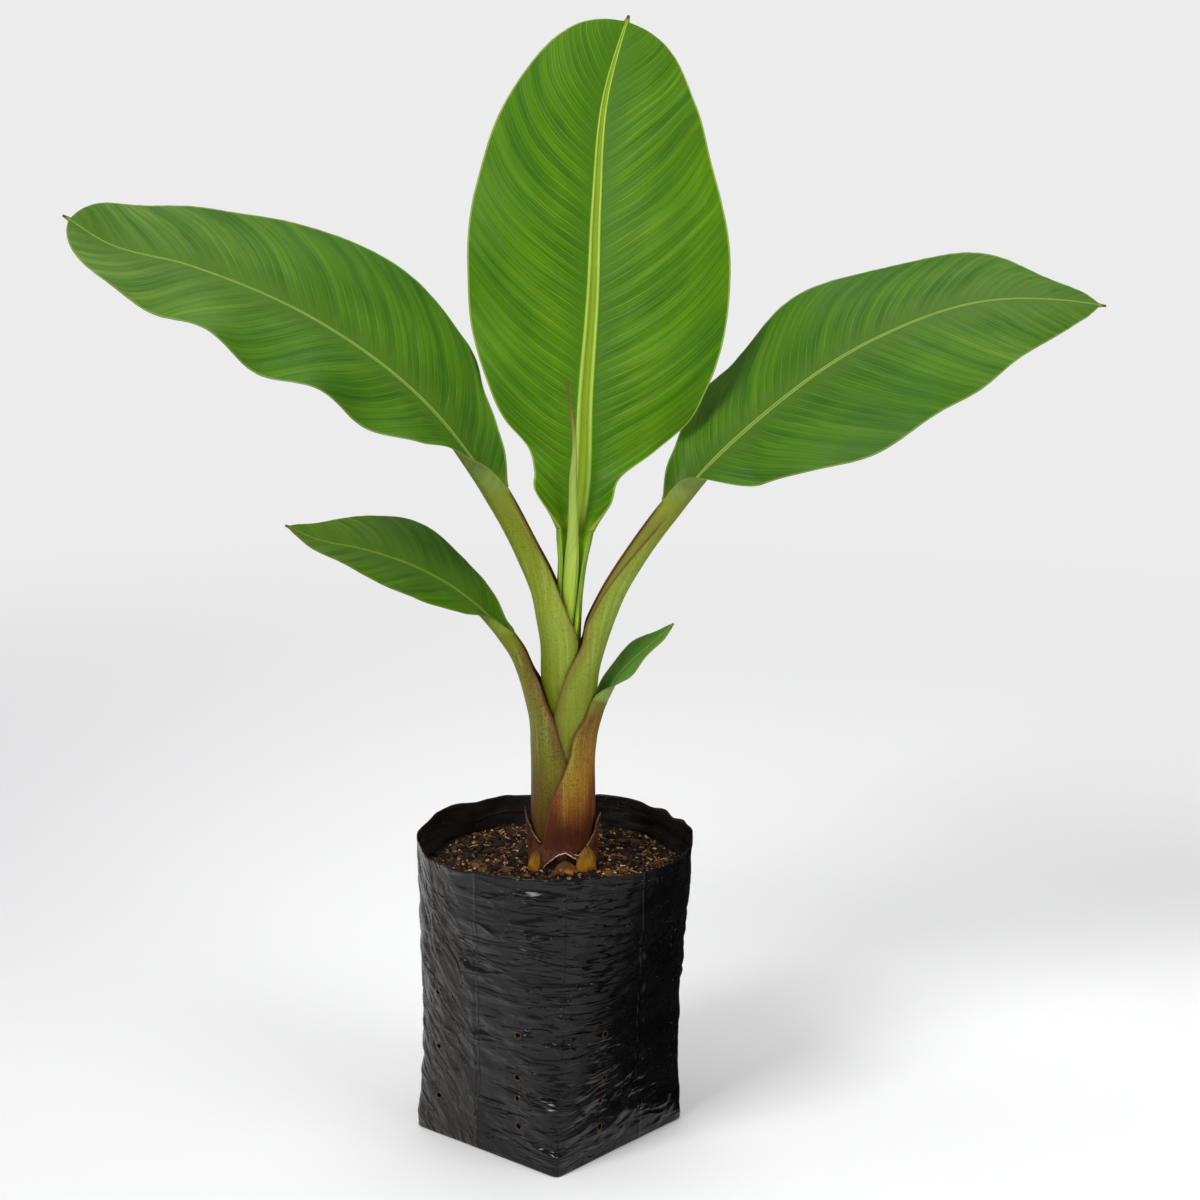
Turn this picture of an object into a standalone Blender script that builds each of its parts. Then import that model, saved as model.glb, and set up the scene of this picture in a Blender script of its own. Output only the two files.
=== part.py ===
"""A young banana plant standing in a nursery bag of potting mix.

The plant is a pseudostem whose leaves leave it one by one.  Each leaf is two solids: a stalk
(its sheath, which wraps the stem, running up into the petiole) and a thin blade.  Both are
slices of one sheet that follows the leaf's spine, the line along the floor of the petiole's
channel and then along the midrib.  All sizes below are in millimetres; +X is the plant's
right, -Y its front and +Z up, with the origin at the middle of the bag's flat underside.
"""

import math
from collections import namedtuple

import bmesh
import bpy
import numpy as np

MM = 0.001
GAP = 0.3                     # clearance between neighbouring solids
SHARP_EDGE = 40.0             # degrees: flatter edges are shaded smooth

# ---- bag and potting mix -------------------------------------------------------------------
SOIL_TOP = 150.0
SOIL_EDGE = 147.5             # the mix lies a little lower against the film
SOIL_HUMP = 1.0               # and is uneven by this much, in low waves round the stem
SOIL_WAVES = 5
SOIL_WAVE_TURN = 9.0          # how far the waves turn from ring to ring
SOIL_RINGS = (0.8, 0.55)      # where its surface is divided, as shares of the bag's radius
SOIL_SEAT = 32.0              # radius of the flat patch under the stem and its buds

BAG_HEIGHT = 167.0
BAG_BASE_SIDE = 105.0         # the flat base is a square with soft corners
BAG_TURN = 49.0               # degrees that the square is turned, so one corner faces front
BAG_RIM_RADIUS = 75.0
BAG_RIM_SHIFT = 4.0           # the open rim leans this far towards +X
BAG_WALL = 1.0
BAG_FLOOR = 1.2
BAG_FOOT_ROUND = 3.0          # the underside is drawn in by this much at its edge
BAG_SQUARENESS = 16.0         # superellipse power of the base; the rim's is 2, a circle
BAG_WIDENING = 1.7            # powers of the height by which the bag widens
BAG_ROUNDING = 1.23           # and turns from square to round
BAG_LEVELS = (0.0, 4.0, 30.0, 65.0, 105.0, SOIL_EDGE, BAG_HEIGHT)
BAG_SIDES = 40
RIM_WAVE = 1.2                # the film's rim rises and falls by this much
RIM_WAVES = 3

# ---- pseudostem ----------------------------------------------------------------------------
STEM_X = 8.0
STEM_SIDES = 24
FORK = 236.0                  # the stem's top, where the three upper stalks part
SHOULDER = 159.5              # the top of the corm's swelling, where the outer sheaths stand
# (height, centre x, radius) up the stem, from the corm's flat foot to the fork
STEM_PROFILE = (
    (SOIL_TOP + GAP, STEM_X, 15.6), (153.0, STEM_X, 17.0), (SHOULDER - 1, STEM_X, 17.0),
    (SHOULDER, STEM_X, 12.6), (175.0, 8.1, 12.4), (200.0, 8.2, 12.3), (218.0, 8.8, 12.6),
    (FORK, 11.2, 14.4),
)

# ---- torn sheath at the foot -----------------------------------------------------------------
COLLAR_RADIUS = 18.2          # inner radius at its sides
COLLAR_DEEPER = 1.0           # and this much more at front and back
COLLAR_THICKNESS = 0.9
COLLAR_SLIT = 90.0            # the direction, in degrees, in which it is split open
COLLAR_OPENING = 3.0          # degrees
COLLAR_COLUMNS = 36
COLLAR_ROWS = 3
# (direction in degrees, height of the torn edge)
COLLAR_TOP = ((-180, 184), (-132, 168), (-95, 161), (-66, 161), (-25, 171), (0, 178), (18, 165),
              (90, 160), (150, 166))

# ---- sucker buds beside the stem -------------------------------------------------------------
Bud = namedtuple("Bud", "name direction half_width half_depth height")
BUDS = (Bud("left_sucker_bud", -140, 4.4, 3.2, 12), Bud("front_sucker_bud", -86, 4.8, 3.0, 6),
        Bud("right_sucker_bud", -53, 4.8, 3.4, 13))
BUD_PROFILE = ((0, 0.75), (0.3, 1.0), (0.6, 0.85), (0.85, 0.5), (1.0, 0.15))
BUD_SIDES = 10

# ---- leaves --------------------------------------------------------------------------------
# A station of a stalk: a point of the spine, then the channel's radius there, how far the
# sheet wraps round it to each side (degrees), and its thickness at the back and at the margin.
Station = namedtuple("Station", "x y z channel wrap back edge")

# One side of a blade.  widths are its half-widths at WIDTH_SHARES of its length, before the
# tip is rounded off.  Opened out, it rises from the midrib at rise_in degrees and ends at
# rise_out at the margin; opening is the share of the blade over which it unfolds from the
# stalk's channel.  Its margin ripples by ripple to each side, in waves from stalk to tip.
Side = namedtuple("Side", "widths rise_in rise_out opening ripple waves phase")
WIDTH_SHARES = (0, 0.05, 0.1, 0.15, 0.2, 0.27, 0.36, 0.48, 0.6, 0.72, 0.85, 1)

# lateral is the direction that the plus side of the sheet spreads in.  tip_power says how late
# the outline is rounded off, and tip_fall how pointed it ends.
Leaf = namedtuple("Leaf", "name lateral stalk midrib plus minus tip_power tip_fall rows")

LEFT_LEAF = Leaf(
    "left_leaf", (0, 1, 0),
    (Station(2.6, 0, FORK + GAP, 8.6, 148, 4.2, 1.1), Station(1.0, 0, 255, 8.85, 143, 4.4, 1.1),
     Station(0.8, 0, 275, 8.9, 136, 4.7, 1.1), Station(-0.8, 0, 288, 9.1, 111, 5.2, 1.1),
     Station(-2.6, 0, 300, 7.0, 109, 5.5, 1.2), Station(-10, 0, 321, 4.3, 128, 6.0, 1.3),
     Station(-26, -2, 353.7, 3.8, 130, 6.2, 1.3)),
    ((-39, -7, 375), (-62, -11, 404.5), (-116, -15, 447.5), (-180, -18, 476.5), (-222, -19, 488.5),
     (-243, -20, 502.5)),
    Side((19, 26, 36, 50, 58, 64, 64, 59, 49, 47, 57), 40, 30, 0.18, 1.0, 3.0, 0),
    Side((9, 12, 19, 31, 42, 49, 56, 58, 51, 47, 41), -14, -38, 0.2, 5.0, 4.2, 2.8), 6, 0.5, 19)

RIGHT_LEAF = Leaf(
    "right_leaf", (0, -1, 0),
    (Station(21.3, 0, FORK + GAP, 12.0, 116, 4.3, 1.1), Station(21.8, 0, 247, 12.2, 105, 4.6, 1.1),
     Station(22.5, 0, 258, 11.8, 92, 5.0, 1.2),
     Station(26.1, 0, 273, 7.9, 91, 5.2, 1.2), Station(29.4, 0, 283.5, 5.8, 118, 5.3, 1.2),
     Station(36, 0, 300.5, 4.3, 128, 5.3, 1.2), Station(49, 1, 323, 3.6, 128, 5.3, 1.2),
     Station(65.5, 3, 346, 3.3, 130, 5.6, 1.2)),
    ((80, 4, 363.5), (109, 6, 391.5), (168, 10, 433), (229, 12, 454), (270, 13, 454),
     (291, 14, 451)),
    Side((12, 22, 31, 39, 51, 63, 69, 68, 68, 61, 44), -28, -52, 0.17, 2.0, 3.6, 2.0),
    Side((19, 26, 37, 50, 55, 58, 61, 63, 53, 46, 42), 34, 24, 0.18, 4.0, 3.0, -0.4), 4, 0.75, 19)

CENTRE_LEAF = Leaf(
    "centre_leaf", (1, 0, 0),
    (Station(11, 4.2, FORK + GAP, 5.6, 160, 3.0, 0.9), Station(9.9, 4.4, 275, 5.7, 146, 3.0, 0.9),
     Station(12, 4.6, 302, 5.1, 120, 3.0, 0.8), Station(13.6, 5.2, 319, 5.5, 107, 3.6, 1.0),
     Station(14.8, 6, 334, 7.4, 82, 4.2, 1.2)),
    ((17.8, 11, 354), (20.2, 25, 401), (24, 42, 451), (26, 61, 498), (31.5, 87, 555),
     (38, 99, 578), (43.5, 108, 594)),
    Side((20, 21, 38, 54, 63, 70, 73, 70, 64, 61, 60), 14, -6, 0.16, 2.0, 4.0, 0),
    Side((27, 25.5, 29.5, 42, 53, 63, 67, 68, 64, 58, 57), 14, -6, 0.16, 2.0, 4.0, 1.5), 6, 0.5, 21)

LOWER_LEFT_LEAF = Leaf(
    "lower_left_leaf", (0, 1, 0),
    (Station(-5.5, 0, SHOULDER + GAP, 13.4, 150, 4.2, 0.8),
     Station(-4.9, 0, 191, 13.1, 135, 4.2, 0.8), Station(-4.7, 0, 216, 13.4, 91, 4.5, 0.9),
     Station(-4.4, 0, 231.5, 14.5, 67, 5.4, 1.1), Station(-8, 0, 247, 9.5, 69, 5.0, 1.2),
     Station(-10.7, 0, 254.5, 5.2, 92, 4.4, 1.2), Station(-16.5, 0, 269, 3.0, 118, 4.2, 1.1),
     Station(-21.5, 0, 276.5, 2.8, 122, 4.0, 1.1)),
    ((-30, 0, 287), (-46, 1, 301), (-69, 3, 314), (-96, 5, 323), (-123, 6, 329), (-138, 7, 336)),
    Side((7, 10.5, 15, 20, 24, 29, 36, 40, 39, 34, 26), 32, 22, 0.2, 0.8, 2.5, 0),
    Side((5, 6, 9, 13, 19, 27, 30, 28, 27, 21, 13), -10, -30, 0.2, 1.0, 3.0, 0), 3, 0.75, 16)

LOWER_RIGHT_LEAF = Leaf(
    "lower_right_leaf", (0, -1, 0),
    (Station(23.1, 0, SHOULDER + GAP, 16.6, 126, 2.5, 0.9),
     Station(22.9, 0, 191, 16.3, 104, 2.5, 0.9), Station(23.1, 0, 214, 16.0, 74, 2.5, 0.9),
     Station(24.4, 0, 226, 15.5, 69, 2.7, 1.0), Station(26.1, 0, 233, 15.0, 58, 2.8, 1.0),
     Station(28.9, 0.5, 241, 11, 64, 2.8, 1.0)),
    ((34, 2.5, 250), (42.3, 8, 259), (54.6, 12, 269), (67.4, 16, 280.2)),
    Side((12, 12, 12, 12, 12, 12, 11, 9, 9, 10, 8), -5, -25, 0.3, 0.5, 2.0, 0),
    Side((8, 9, 9.5, 10, 10.5, 11.5, 13, 14.5, 14.5, 12, 8.5), 30, 20, 0.3, 0.5, 2.0, 0), 3, 0.75, 12)

LEAVES = (LOWER_RIGHT_LEAF, LOWER_LEFT_LEAF, RIGHT_LEAF, LEFT_LEAF, CENTRE_LEAF)

BLADE_THICKNESS = 1.2
BLADE_TIP = 0.7               # half-width of the dry point at a blade's end
BLADE_END = 0.985             # share of the midrib where the rounded outline closes
CUSP_WIDTH = 0.09             # half-width of the cusp drawn out to the point, per blade half-width
CUSP_RUN = 0.04               # share of the midrib over which it narrows
CUSP_HOLLOW = 1.5             # how hollow its sides are
RIB_TIP_WIDTH = 1.6           # half-width of the rib under the midrib, at the tip
RIB_TAPER = 1.3
RIPPLE_END = 0.2              # the ripple dies out over this last share of the blade
FOOT_RUN = 25.0               # a stalk's sections turn from level to square over this run
TANGENT_STEP = 1.0            # length over which the spine's direction is taken
FLAT_TURN = 1e-6              # a section that turns less than this is straight
STALK_COLUMNS = 6             # columns of faces on each side of a stalk's sheet
STALK_ROWS = 12
BLADE_COLUMNS = (0.35, 0.7, 1.0)   # beyond the rib, as shares of the way to the margin

# ---- spear: the next leaf, still rolled ------------------------------------------------------
# (x, y, height, radius)
SPEAR = (
    (11, -1.3, FORK + GAP, 5.0), (10, -1.2, 275, 5.1), (12.1, -0.5, 302, 4.6), (13.2, 0, 319, 4.2),
    (13.7, 0, 330, 3.3), (14, 0, 341, 2.9), (13.9, 1, 362, 2.2), (14.6, 3.4, 382, 1.2),
    (12, 5.5, 403, 0.8), (10.7, 6.5, 413, 0.6),
)
SPEAR_SIDES = 12
SPEAR_ROWS = 18


# ---- colours: base colour, roughness ---------------------------------------------------------
LOOKS = {
    "bag": ((0.02, 0.02, 0.022), 0.32),
    "soil": ((0.05, 0.028, 0.016), 0.95),
    "stem": ((0.19, 0.07, 0.035), 0.5),
    "sheath": ((0.25, 0.28, 0.06), 0.42),
    "blade": ((0.10, 0.26, 0.03), 0.4),
    "dry": ((0.16, 0.07, 0.035), 0.8),
    "bud": ((0.42, 0.2, 0.04), 0.55),
}


def material(name, look):
    base_colour, roughness = LOOKS[look]
    result = bpy.data.materials.new(name)
    result.use_nodes = True
    shader = result.node_tree.nodes["Principled BSDF"]
    shader.inputs["Base Color"].default_value = (*base_colour, 1.0)
    shader.inputs["Roughness"].default_value = roughness
    shader.inputs["Metallic"].default_value = 0.0
    return result


def add_solid(name, points, faces, look):
    """A closed mesh object from points in millimetres, its faces turned to point out."""
    mesh = bpy.data.meshes.new(name)
    mesh.from_pydata([tuple(point) for point in np.asarray(points, float) * MM], [], faces)
    shell = bmesh.new()
    shell.from_mesh(mesh)
    bmesh.ops.recalc_face_normals(shell, faces=shell.faces)
    shell.to_mesh(mesh)
    shell.free()
    mesh.shade_smooth()
    mesh.set_sharp_from_angle(angle=math.radians(SHARP_EDGE))
    mesh.materials.append(material(name, look))
    solid = bpy.data.objects.new(name, mesh)
    bpy.context.scene.collection.objects.link(solid)
    return solid


def smooth(knots, values, at):
    """A cubic curve through the values at the knots, with slopes from their neighbours."""
    knots = np.asarray(knots, float)
    values = np.asarray(values, float)
    slopes = np.gradient(values, knots, axis=0)
    left = np.clip(np.searchsorted(knots, at, side="right") - 1, 0, len(knots) - 2)
    step = knots[left + 1] - knots[left]
    part = (at - knots[left]) / step
    if values.ndim > 1:
        step, part = step[:, None], part[:, None]
    rest = 1 - part
    return ((1 + 2 * part) * rest ** 2 * values[left] + part * rest ** 2 * step * slopes[left]
            + (3 - 2 * part) * part ** 2 * values[left + 1]
            - rest * part ** 2 * step * slopes[left + 1])


def ease(share):
    share = np.clip(share, 0, 1)
    return share * share * (3 - 2 * share)


def unit(vectors):
    return vectors / np.linalg.norm(vectors, axis=-1, keepdims=True)


# ---- turned and lofted solids ----------------------------------------------------------------

def loft(rings):
    """Points and faces of a closed solid through rings of equal count, ends capped flat.

    Walls that face each other across a gap are split along the same diagonals.
    """
    rings = np.asarray(rings)
    rows, count = rings.shape[:2]
    faces = []
    for row in range(rows - 1):
        low, high = row * count, (row + 1) * count
        if rings[row + 1][:, 2].mean() < rings[row][:, 2].mean():
            low, high = high, low
        for i in range(count):
            j = (i + 1) % count
            faces.append((low + i, low + j, high + j))
            faces.append((low + i, high + j, high + i))
    faces.append(tuple(range(count))[::-1])
    faces.append(tuple(range((rows - 1) * count, rows * count)))
    return rings.reshape(-1, 3), faces


def turned_column(profile, sides):
    """Level rings about (height, centre x, radius) rows."""
    angles = np.arange(sides) * 2 * np.pi / sides
    return [np.column_stack((x + radius * np.cos(angles), radius * np.sin(angles),
                             np.full(sides, height))) for height, x, radius in profile]


# ---- bag -------------------------------------------------------------------------------------

def bag_ring(height, inset=0.0, rise=0.0):
    """The bag's outline at a height, drawn in by an inset."""
    share = height / BAG_HEIGHT
    half = BAG_BASE_SIDE / 2 + (BAG_RIM_RADIUS - BAG_BASE_SIDE / 2) * share ** BAG_WIDENING
    bend = 1 / BAG_SQUARENESS + (0.5 - 1 / BAG_SQUARENESS) * share ** BAG_ROUNDING
    angles = np.arange(BAG_SIDES) * 2 * np.pi / BAG_SIDES + math.radians(BAG_TURN)
    local = angles - math.radians(BAG_TURN)
    power = 1 / bend
    radius = half / (abs(np.cos(local)) ** power + abs(np.sin(local)) ** power) ** bend - inset
    level = height + rise * np.sin(RIM_WAVES * angles) + np.zeros(BAG_SIDES)
    return np.column_stack((BAG_RIM_SHIFT * share + radius * np.cos(angles),
                            radius * np.sin(angles), level))


def build_bag():
    outer = [bag_ring(0, BAG_FOOT_ROUND)] + [bag_ring(h) for h in BAG_LEVELS[1:-1]]
    outer.append(bag_ring(BAG_HEIGHT, 0, RIM_WAVE))
    inner = [bag_ring(BAG_HEIGHT, BAG_WALL, RIM_WAVE)]
    inner += [bag_ring(h, BAG_WALL) for h in BAG_LEVELS[-2:1:-1]]
    inner.append(bag_ring(BAG_LEVELS[1], BAG_WALL + BAG_FLOOR))
    inner[-1][:, 2] = BAG_FLOOR
    return add_solid("grow_bag", *loft(outer + inner), "bag")


def build_soil():
    clear = BAG_WALL + GAP
    rings = [bag_ring(BAG_LEVELS[1], clear + BAG_FLOOR)]
    rings[0][:, 2] = BAG_FLOOR + GAP
    rings += [bag_ring(h, clear) for h in BAG_LEVELS[2:-1]]
    rim = rings[-1]
    centre = rim.mean(axis=0)
    for share in SOIL_RINGS:
        ring = centre + (rim - centre) * share
        angles = np.arange(BAG_SIDES) * 2 * np.pi / BAG_SIDES
        wave = np.sin(SOIL_WAVES * angles + SOIL_WAVE_TURN * share)
        ring[:, 2] = SOIL_TOP - SOIL_HUMP + SOIL_HUMP * wave
        rings.append(ring)
    foot = turned_column([(SOIL_TOP, STEM_X, SOIL_SEAT)], BAG_SIDES)[0]
    turn = int(round(BAG_TURN / 360 * BAG_SIDES))
    rings.append(np.roll(foot, -turn, axis=0))
    return add_solid("potting_mix", *loft(rings), "soil")


# ---- leaf sheets -----------------------------------------------------------------------------

def spine_of(leaf):
    """The spine's named points and the distance along it of each."""
    points = np.array([station[:3] for station in leaf.stalk] + list(leaf.midrib), float)
    lengths = np.linalg.norm(np.diff(points, axis=0), axis=1)
    return np.concatenate(([0], np.cumsum(lengths))), points


def spine_frames(leaf, at):
    """Points of the spine, and the directions across the sheet and out of its channel."""
    reach, points = spine_of(leaf)
    centre = smooth(reach, points, at)
    ahead, behind = at + TANGENT_STEP / 2, at - TANGENT_STEP / 2
    tangent = unit(smooth(reach, points, ahead) - smooth(reach, points, behind))
    risen = ease(at / FOOT_RUN)[:, None]
    tangent = unit(tangent * risen + np.array((0, 0, 1.0)) * (1 - risen))
    lateral = np.array(leaf.lateral, float)
    lateral = unit(lateral - tangent * (tangent @ lateral)[:, None])
    return centre, lateral, np.cross(lateral, tangent)


def half_sheet(frames, sign, across, rise_in, rise_out, width, back, edge, rib, lift=0.0):
    """Channel-side and back-side points of one side of the sheet.

    across holds distances from the spine, one row per section.  The sheet rises from it by an
    angle that turns evenly from rise_in, at the spine, to rise_out, at the margin, and its
    margin is lifted square to itself by lift.
    """
    centre, lateral, up = (part[:, None, :] for part in frames)
    start = np.radians(rise_in)[:, None]
    turn = (np.radians(rise_out - rise_in) / width)[:, None]
    turn = np.where(abs(turn) < FLAT_TURN, FLAT_TURN, turn)
    angle = (start + turn * across)[..., None]
    out = ((np.sin(angle[..., 0]) - np.sin(start)) / turn)[..., None]
    rise = ((np.cos(start) - np.cos(angle[..., 0])) / turn)[..., None]
    face = centre + sign * lateral * out + up * rise
    normal = up * np.cos(angle) - sign * lateral * np.sin(angle)
    face = face + normal * (lift * (across / width[:, None]) ** 2)[..., None]
    swell = (1 + np.cos(np.pi * np.clip(across / rib[:, None], 0, 1))) / 2
    depth = edge[:, None] + (back - edge)[:, None] * swell
    return face, face - normal * depth[..., None]


def sheet_solid(face, behind):
    """Points and faces of the closed solid between the sheet's two sides."""
    rows, columns = face.shape[:2]
    points = np.concatenate((face.reshape(-1, 3), behind.reshape(-1, 3)))
    shift = rows * columns
    faces = []
    for row in range(rows - 1):
        for column in range(columns - 1):
            a = row * columns + column
            quad = (a, a + 1, a + columns + 1, a + columns)
            faces.append(quad)
            faces.append(tuple(shift + i for i in quad[::-1]))
        for a, b in ((row * columns, (row + 1) * columns),
                     ((row + 2) * columns - 1, (row + 1) * columns - 1)):
            faces.append((a, b, shift + b, shift + a))
    last = (rows - 1) * columns
    for column in range(columns - 1):
        faces.append((column + 1, column, shift + column, shift + column + 1))
        a = last + column
        faces.append((a, a + 1, shift + a + 1, shift + a))
    return points, faces


def join_sides(plus, minus):
    """Both halves as one sheet, from the minus margin to the plus margin."""
    return tuple(np.concatenate((m[:, :0:-1], p), axis=1) for p, m in zip(plus, minus))


def build_stalk(leaf):
    reach, _ = spine_of(leaf)
    joint = reach[len(leaf.stalk) - 1]
    at = np.linspace(0, joint - GAP / 2, STALK_ROWS)
    numbers = smooth(reach[:len(leaf.stalk)], [station[3:] for station in leaf.stalk], at)
    channel, wrap, back, edge = numbers.T
    width = channel * np.radians(wrap)
    across = np.outer(width, np.linspace(0, 1, STALK_COLUMNS + 1))
    frames = spine_frames(leaf, at)
    level = np.zeros(STALK_ROWS)
    halves = [half_sheet(frames, sign, across, level, wrap, width, back, edge, np.pi * channel)
              for sign in (1, -1)]
    return add_solid(leaf.name + "_stalk", *sheet_solid(*join_sides(*halves)), "sheath")


def half_width(leaf, side, share):
    """Distance along the sheet from midrib to margin, at shares of the blade's length."""
    joint = leaf.stalk[-1]
    widths = (joint.channel * math.radians(joint.wrap),) + side.widths
    body = smooth(WIDTH_SHARES, widths, share)
    rounding = (1 - np.clip(share / BLADE_END, 0, 1) ** leaf.tip_power) ** leaf.tip_fall
    cusp = CUSP_WIDTH * body * np.clip((1 - share) / CUSP_RUN, 0, 1) ** CUSP_HOLLOW
    return np.hypot(body * rounding, BLADE_TIP + cusp)


def blade_side(leaf, side, sign, share, frames):
    joint = leaf.stalk[-1]
    width = half_width(leaf, side, share)
    opened = ease(share / side.opening)
    rise_in = side.rise_in * opened
    rise_out = joint.wrap + (side.rise_out - joint.wrap) * opened
    taper = (1 - share) ** RIB_TAPER
    back = BLADE_THICKNESS + (joint.back - BLADE_THICKNESS) * taper
    rib = RIB_TIP_WIDTH + (np.pi * joint.channel - RIB_TIP_WIDTH) * taper
    edge = joint.edge + (BLADE_THICKNESS - joint.edge) * opened
    inner = np.minimum(rib, width / 2)
    beyond = inner[:, None] + np.outer(width - inner, BLADE_COLUMNS)
    across = np.column_stack((0 * inner, inner / 2, inner, beyond))
    lift = side.ripple * opened * ease((1 - share) / RIPPLE_END)
    lift = lift * np.sin(2 * np.pi * side.waves * share + side.phase)
    return half_sheet(frames, sign, across, rise_in, rise_out, width, back, edge, rib,
                      lift[:, None])


def blade_shares(rows):
    """Shares of the blade's length, closer together where it opens and where it rounds in."""
    even = np.linspace(0, 1, rows)
    crowded = (1 - np.cos(np.pi * even)) / 2
    return (even + crowded) / 2


def build_blade(leaf):
    reach, _ = spine_of(leaf)
    joint = reach[len(leaf.stalk) - 1]
    share = blade_shares(leaf.rows)
    frames = spine_frames(leaf, joint + GAP / 2 + share * (reach[-1] - joint - GAP / 2))
    halves = [blade_side(leaf, leaf.plus, 1, share, frames),
              blade_side(leaf, leaf.minus, -1, share, frames)]
    return add_solid(leaf.name + "_blade", *sheet_solid(*join_sides(*halves)), "blade")


# ---- stem and spear --------------------------------------------------------------------------

def build_pseudostem():
    return add_solid("pseudostem", *loft(turned_column(STEM_PROFILE, STEM_SIDES)), "stem")


def build_collar():
    """The torn remains of an old sheath: a thin open ring about the stem's foot."""
    half_slit = COLLAR_OPENING / 2
    degrees = np.linspace(COLLAR_SLIT + half_slit, COLLAR_SLIT + 360 - half_slit, COLLAR_COLUMNS)
    directions, heights = np.array(COLLAR_TOP, float).T
    top = np.interp(degrees, directions, heights, period=360)
    angles = np.radians(degrees)
    foot = SOIL_TOP + GAP
    levels = foot + np.outer(np.linspace(0, 1, COLLAR_ROWS), top - foot)

    def wall(radius):
        radius = radius + COLLAR_DEEPER * abs(np.sin(angles))
        x = STEM_X + radius * np.cos(angles) + 0 * levels
        return np.stack((x, radius * np.sin(angles) + 0 * levels, levels), axis=-1)

    faces = sheet_solid(wall(COLLAR_RADIUS), wall(COLLAR_RADIUS + COLLAR_THICKNESS))
    return add_solid("basal_sheath", *faces, "dry")


def build_bud(bud):
    angles = np.arange(BUD_SIDES) * 2 * np.pi / BUD_SIDES
    way = math.radians(bud.direction)
    out = np.array((math.cos(way), math.sin(way), 0))
    along = np.array((-out[1], out[0], 0))
    clear = COLLAR_RADIUS + COLLAR_THICKNESS + COLLAR_DEEPER * abs(math.sin(way)) + GAP
    foot = np.array((STEM_X, 0, SOIL_TOP + GAP)) + out * (clear + bud.half_depth)
    rings = [foot + np.outer(np.cos(angles) * bud.half_depth * size, out)
             + np.outer(np.sin(angles) * bud.half_width * size, along) + (0, 0, share * bud.height)
             for share, size in BUD_PROFILE]
    return add_solid(bud.name, *loft(rings), "bud")


def build_spear():
    rows = np.array(SPEAR)
    knots = rows[:, 2]
    height = np.linspace(knots[0], knots[-1], SPEAR_ROWS)
    x, y, _, radius = smooth(knots, rows, height).T
    angles = np.arange(SPEAR_SIDES) * 2 * np.pi / SPEAR_SIDES
    rings = [np.column_stack((x[i] + radius[i] * np.cos(angles), y[i] + radius[i] * np.sin(angles),
                              np.full(SPEAR_SIDES, height[i]))) for i in range(SPEAR_ROWS)]
    return add_solid("spear_leaf", *loft(rings), "blade")


def main():
    for old in list(bpy.data.objects):
        bpy.data.objects.remove(old, do_unlink=True)
    build_bag()
    build_soil()
    build_pseudostem()
    build_collar()
    for bud in BUDS:
        build_bud(bud)
    for leaf in LEAVES:
        build_stalk(leaf)
        build_blade(leaf)
    build_spear()


main()
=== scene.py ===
"""Looks of a young banana plant standing in a nursery bag of potting mix.

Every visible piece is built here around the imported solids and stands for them.  Sizes are in
millimetres and become metres when a mesh is made; +X is the plant's right, -Y its front and
+Z up.  Directions are degrees from +X towards +Y.  The outlines repeat the constants of the
solids, and the pieces add what those leave out: veins, pleats, midribs, fibres, wrinkled film
and loose crumbs.  Colours are display values from 0 to 255.
"""

import math
from collections import namedtuple
from itertools import combinations

import bpy
import numpy as np
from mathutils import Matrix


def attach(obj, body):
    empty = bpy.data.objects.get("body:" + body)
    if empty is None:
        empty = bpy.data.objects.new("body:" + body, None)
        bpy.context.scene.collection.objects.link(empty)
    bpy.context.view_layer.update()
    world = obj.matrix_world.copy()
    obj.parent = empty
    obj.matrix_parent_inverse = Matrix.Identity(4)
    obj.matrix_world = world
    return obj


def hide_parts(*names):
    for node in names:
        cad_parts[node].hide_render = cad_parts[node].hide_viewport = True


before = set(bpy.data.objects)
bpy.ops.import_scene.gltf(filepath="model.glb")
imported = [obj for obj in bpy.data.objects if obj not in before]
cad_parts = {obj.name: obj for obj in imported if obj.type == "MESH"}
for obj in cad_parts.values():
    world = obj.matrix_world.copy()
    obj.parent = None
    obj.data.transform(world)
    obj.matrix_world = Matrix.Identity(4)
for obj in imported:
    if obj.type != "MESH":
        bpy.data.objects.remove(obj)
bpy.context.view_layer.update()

MM = 0.001
TURN = 2 * np.pi

# ---- the solids' own constants ----
GAP = 0.3
SOIL_TOP = 150.0
SOIL_EDGE = 147.5
BAG_HEIGHT = 167.0
BAG_BASE_SIDE = 105.0
BAG_TURN = 49.0
BAG_RIM_RADIUS = 75.0
BAG_RIM_SHIFT = 4.0
BAG_SQUARENESS = 16.0
BAG_WIDENING = 1.7
BAG_ROUNDING = 1.23
RIM_WAVE = 1.2
RIM_WAVES = 3
STEM_X = 8.0
FORK = 236.0
SHOULDER = 159.5
COLLAR_RADIUS = 18.2
COLLAR_DEEPER = 1.0
COLLAR_SLIT = 90.0
COLLAR_OPENING = 3.0

# the solid's direction and half sizes, then how the bud is drawn: its widening, its height, how
# far it leans along the stem's side, and the share of its height from which it turns dark brown;
# on the front bud that dark top is painted shade, as its top lies in the hollow
Bud = namedtuple("Bud", "name direction half_width half_depth wider tall lean brown_from")
BUDS = (Bud("left_sucker_bud", -140, 4.4, 3.2, 0.95, 17.5, 2.0, 0.7),
        Bud("front_sucker_bud", -86, 4.8, 3.0, 1.5, 11.5, 0.0, 0.48),
        Bud("right_sucker_bud", -53, 4.8, 3.4, 1.3, 18.5, 1.5, 0.9))

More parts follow.
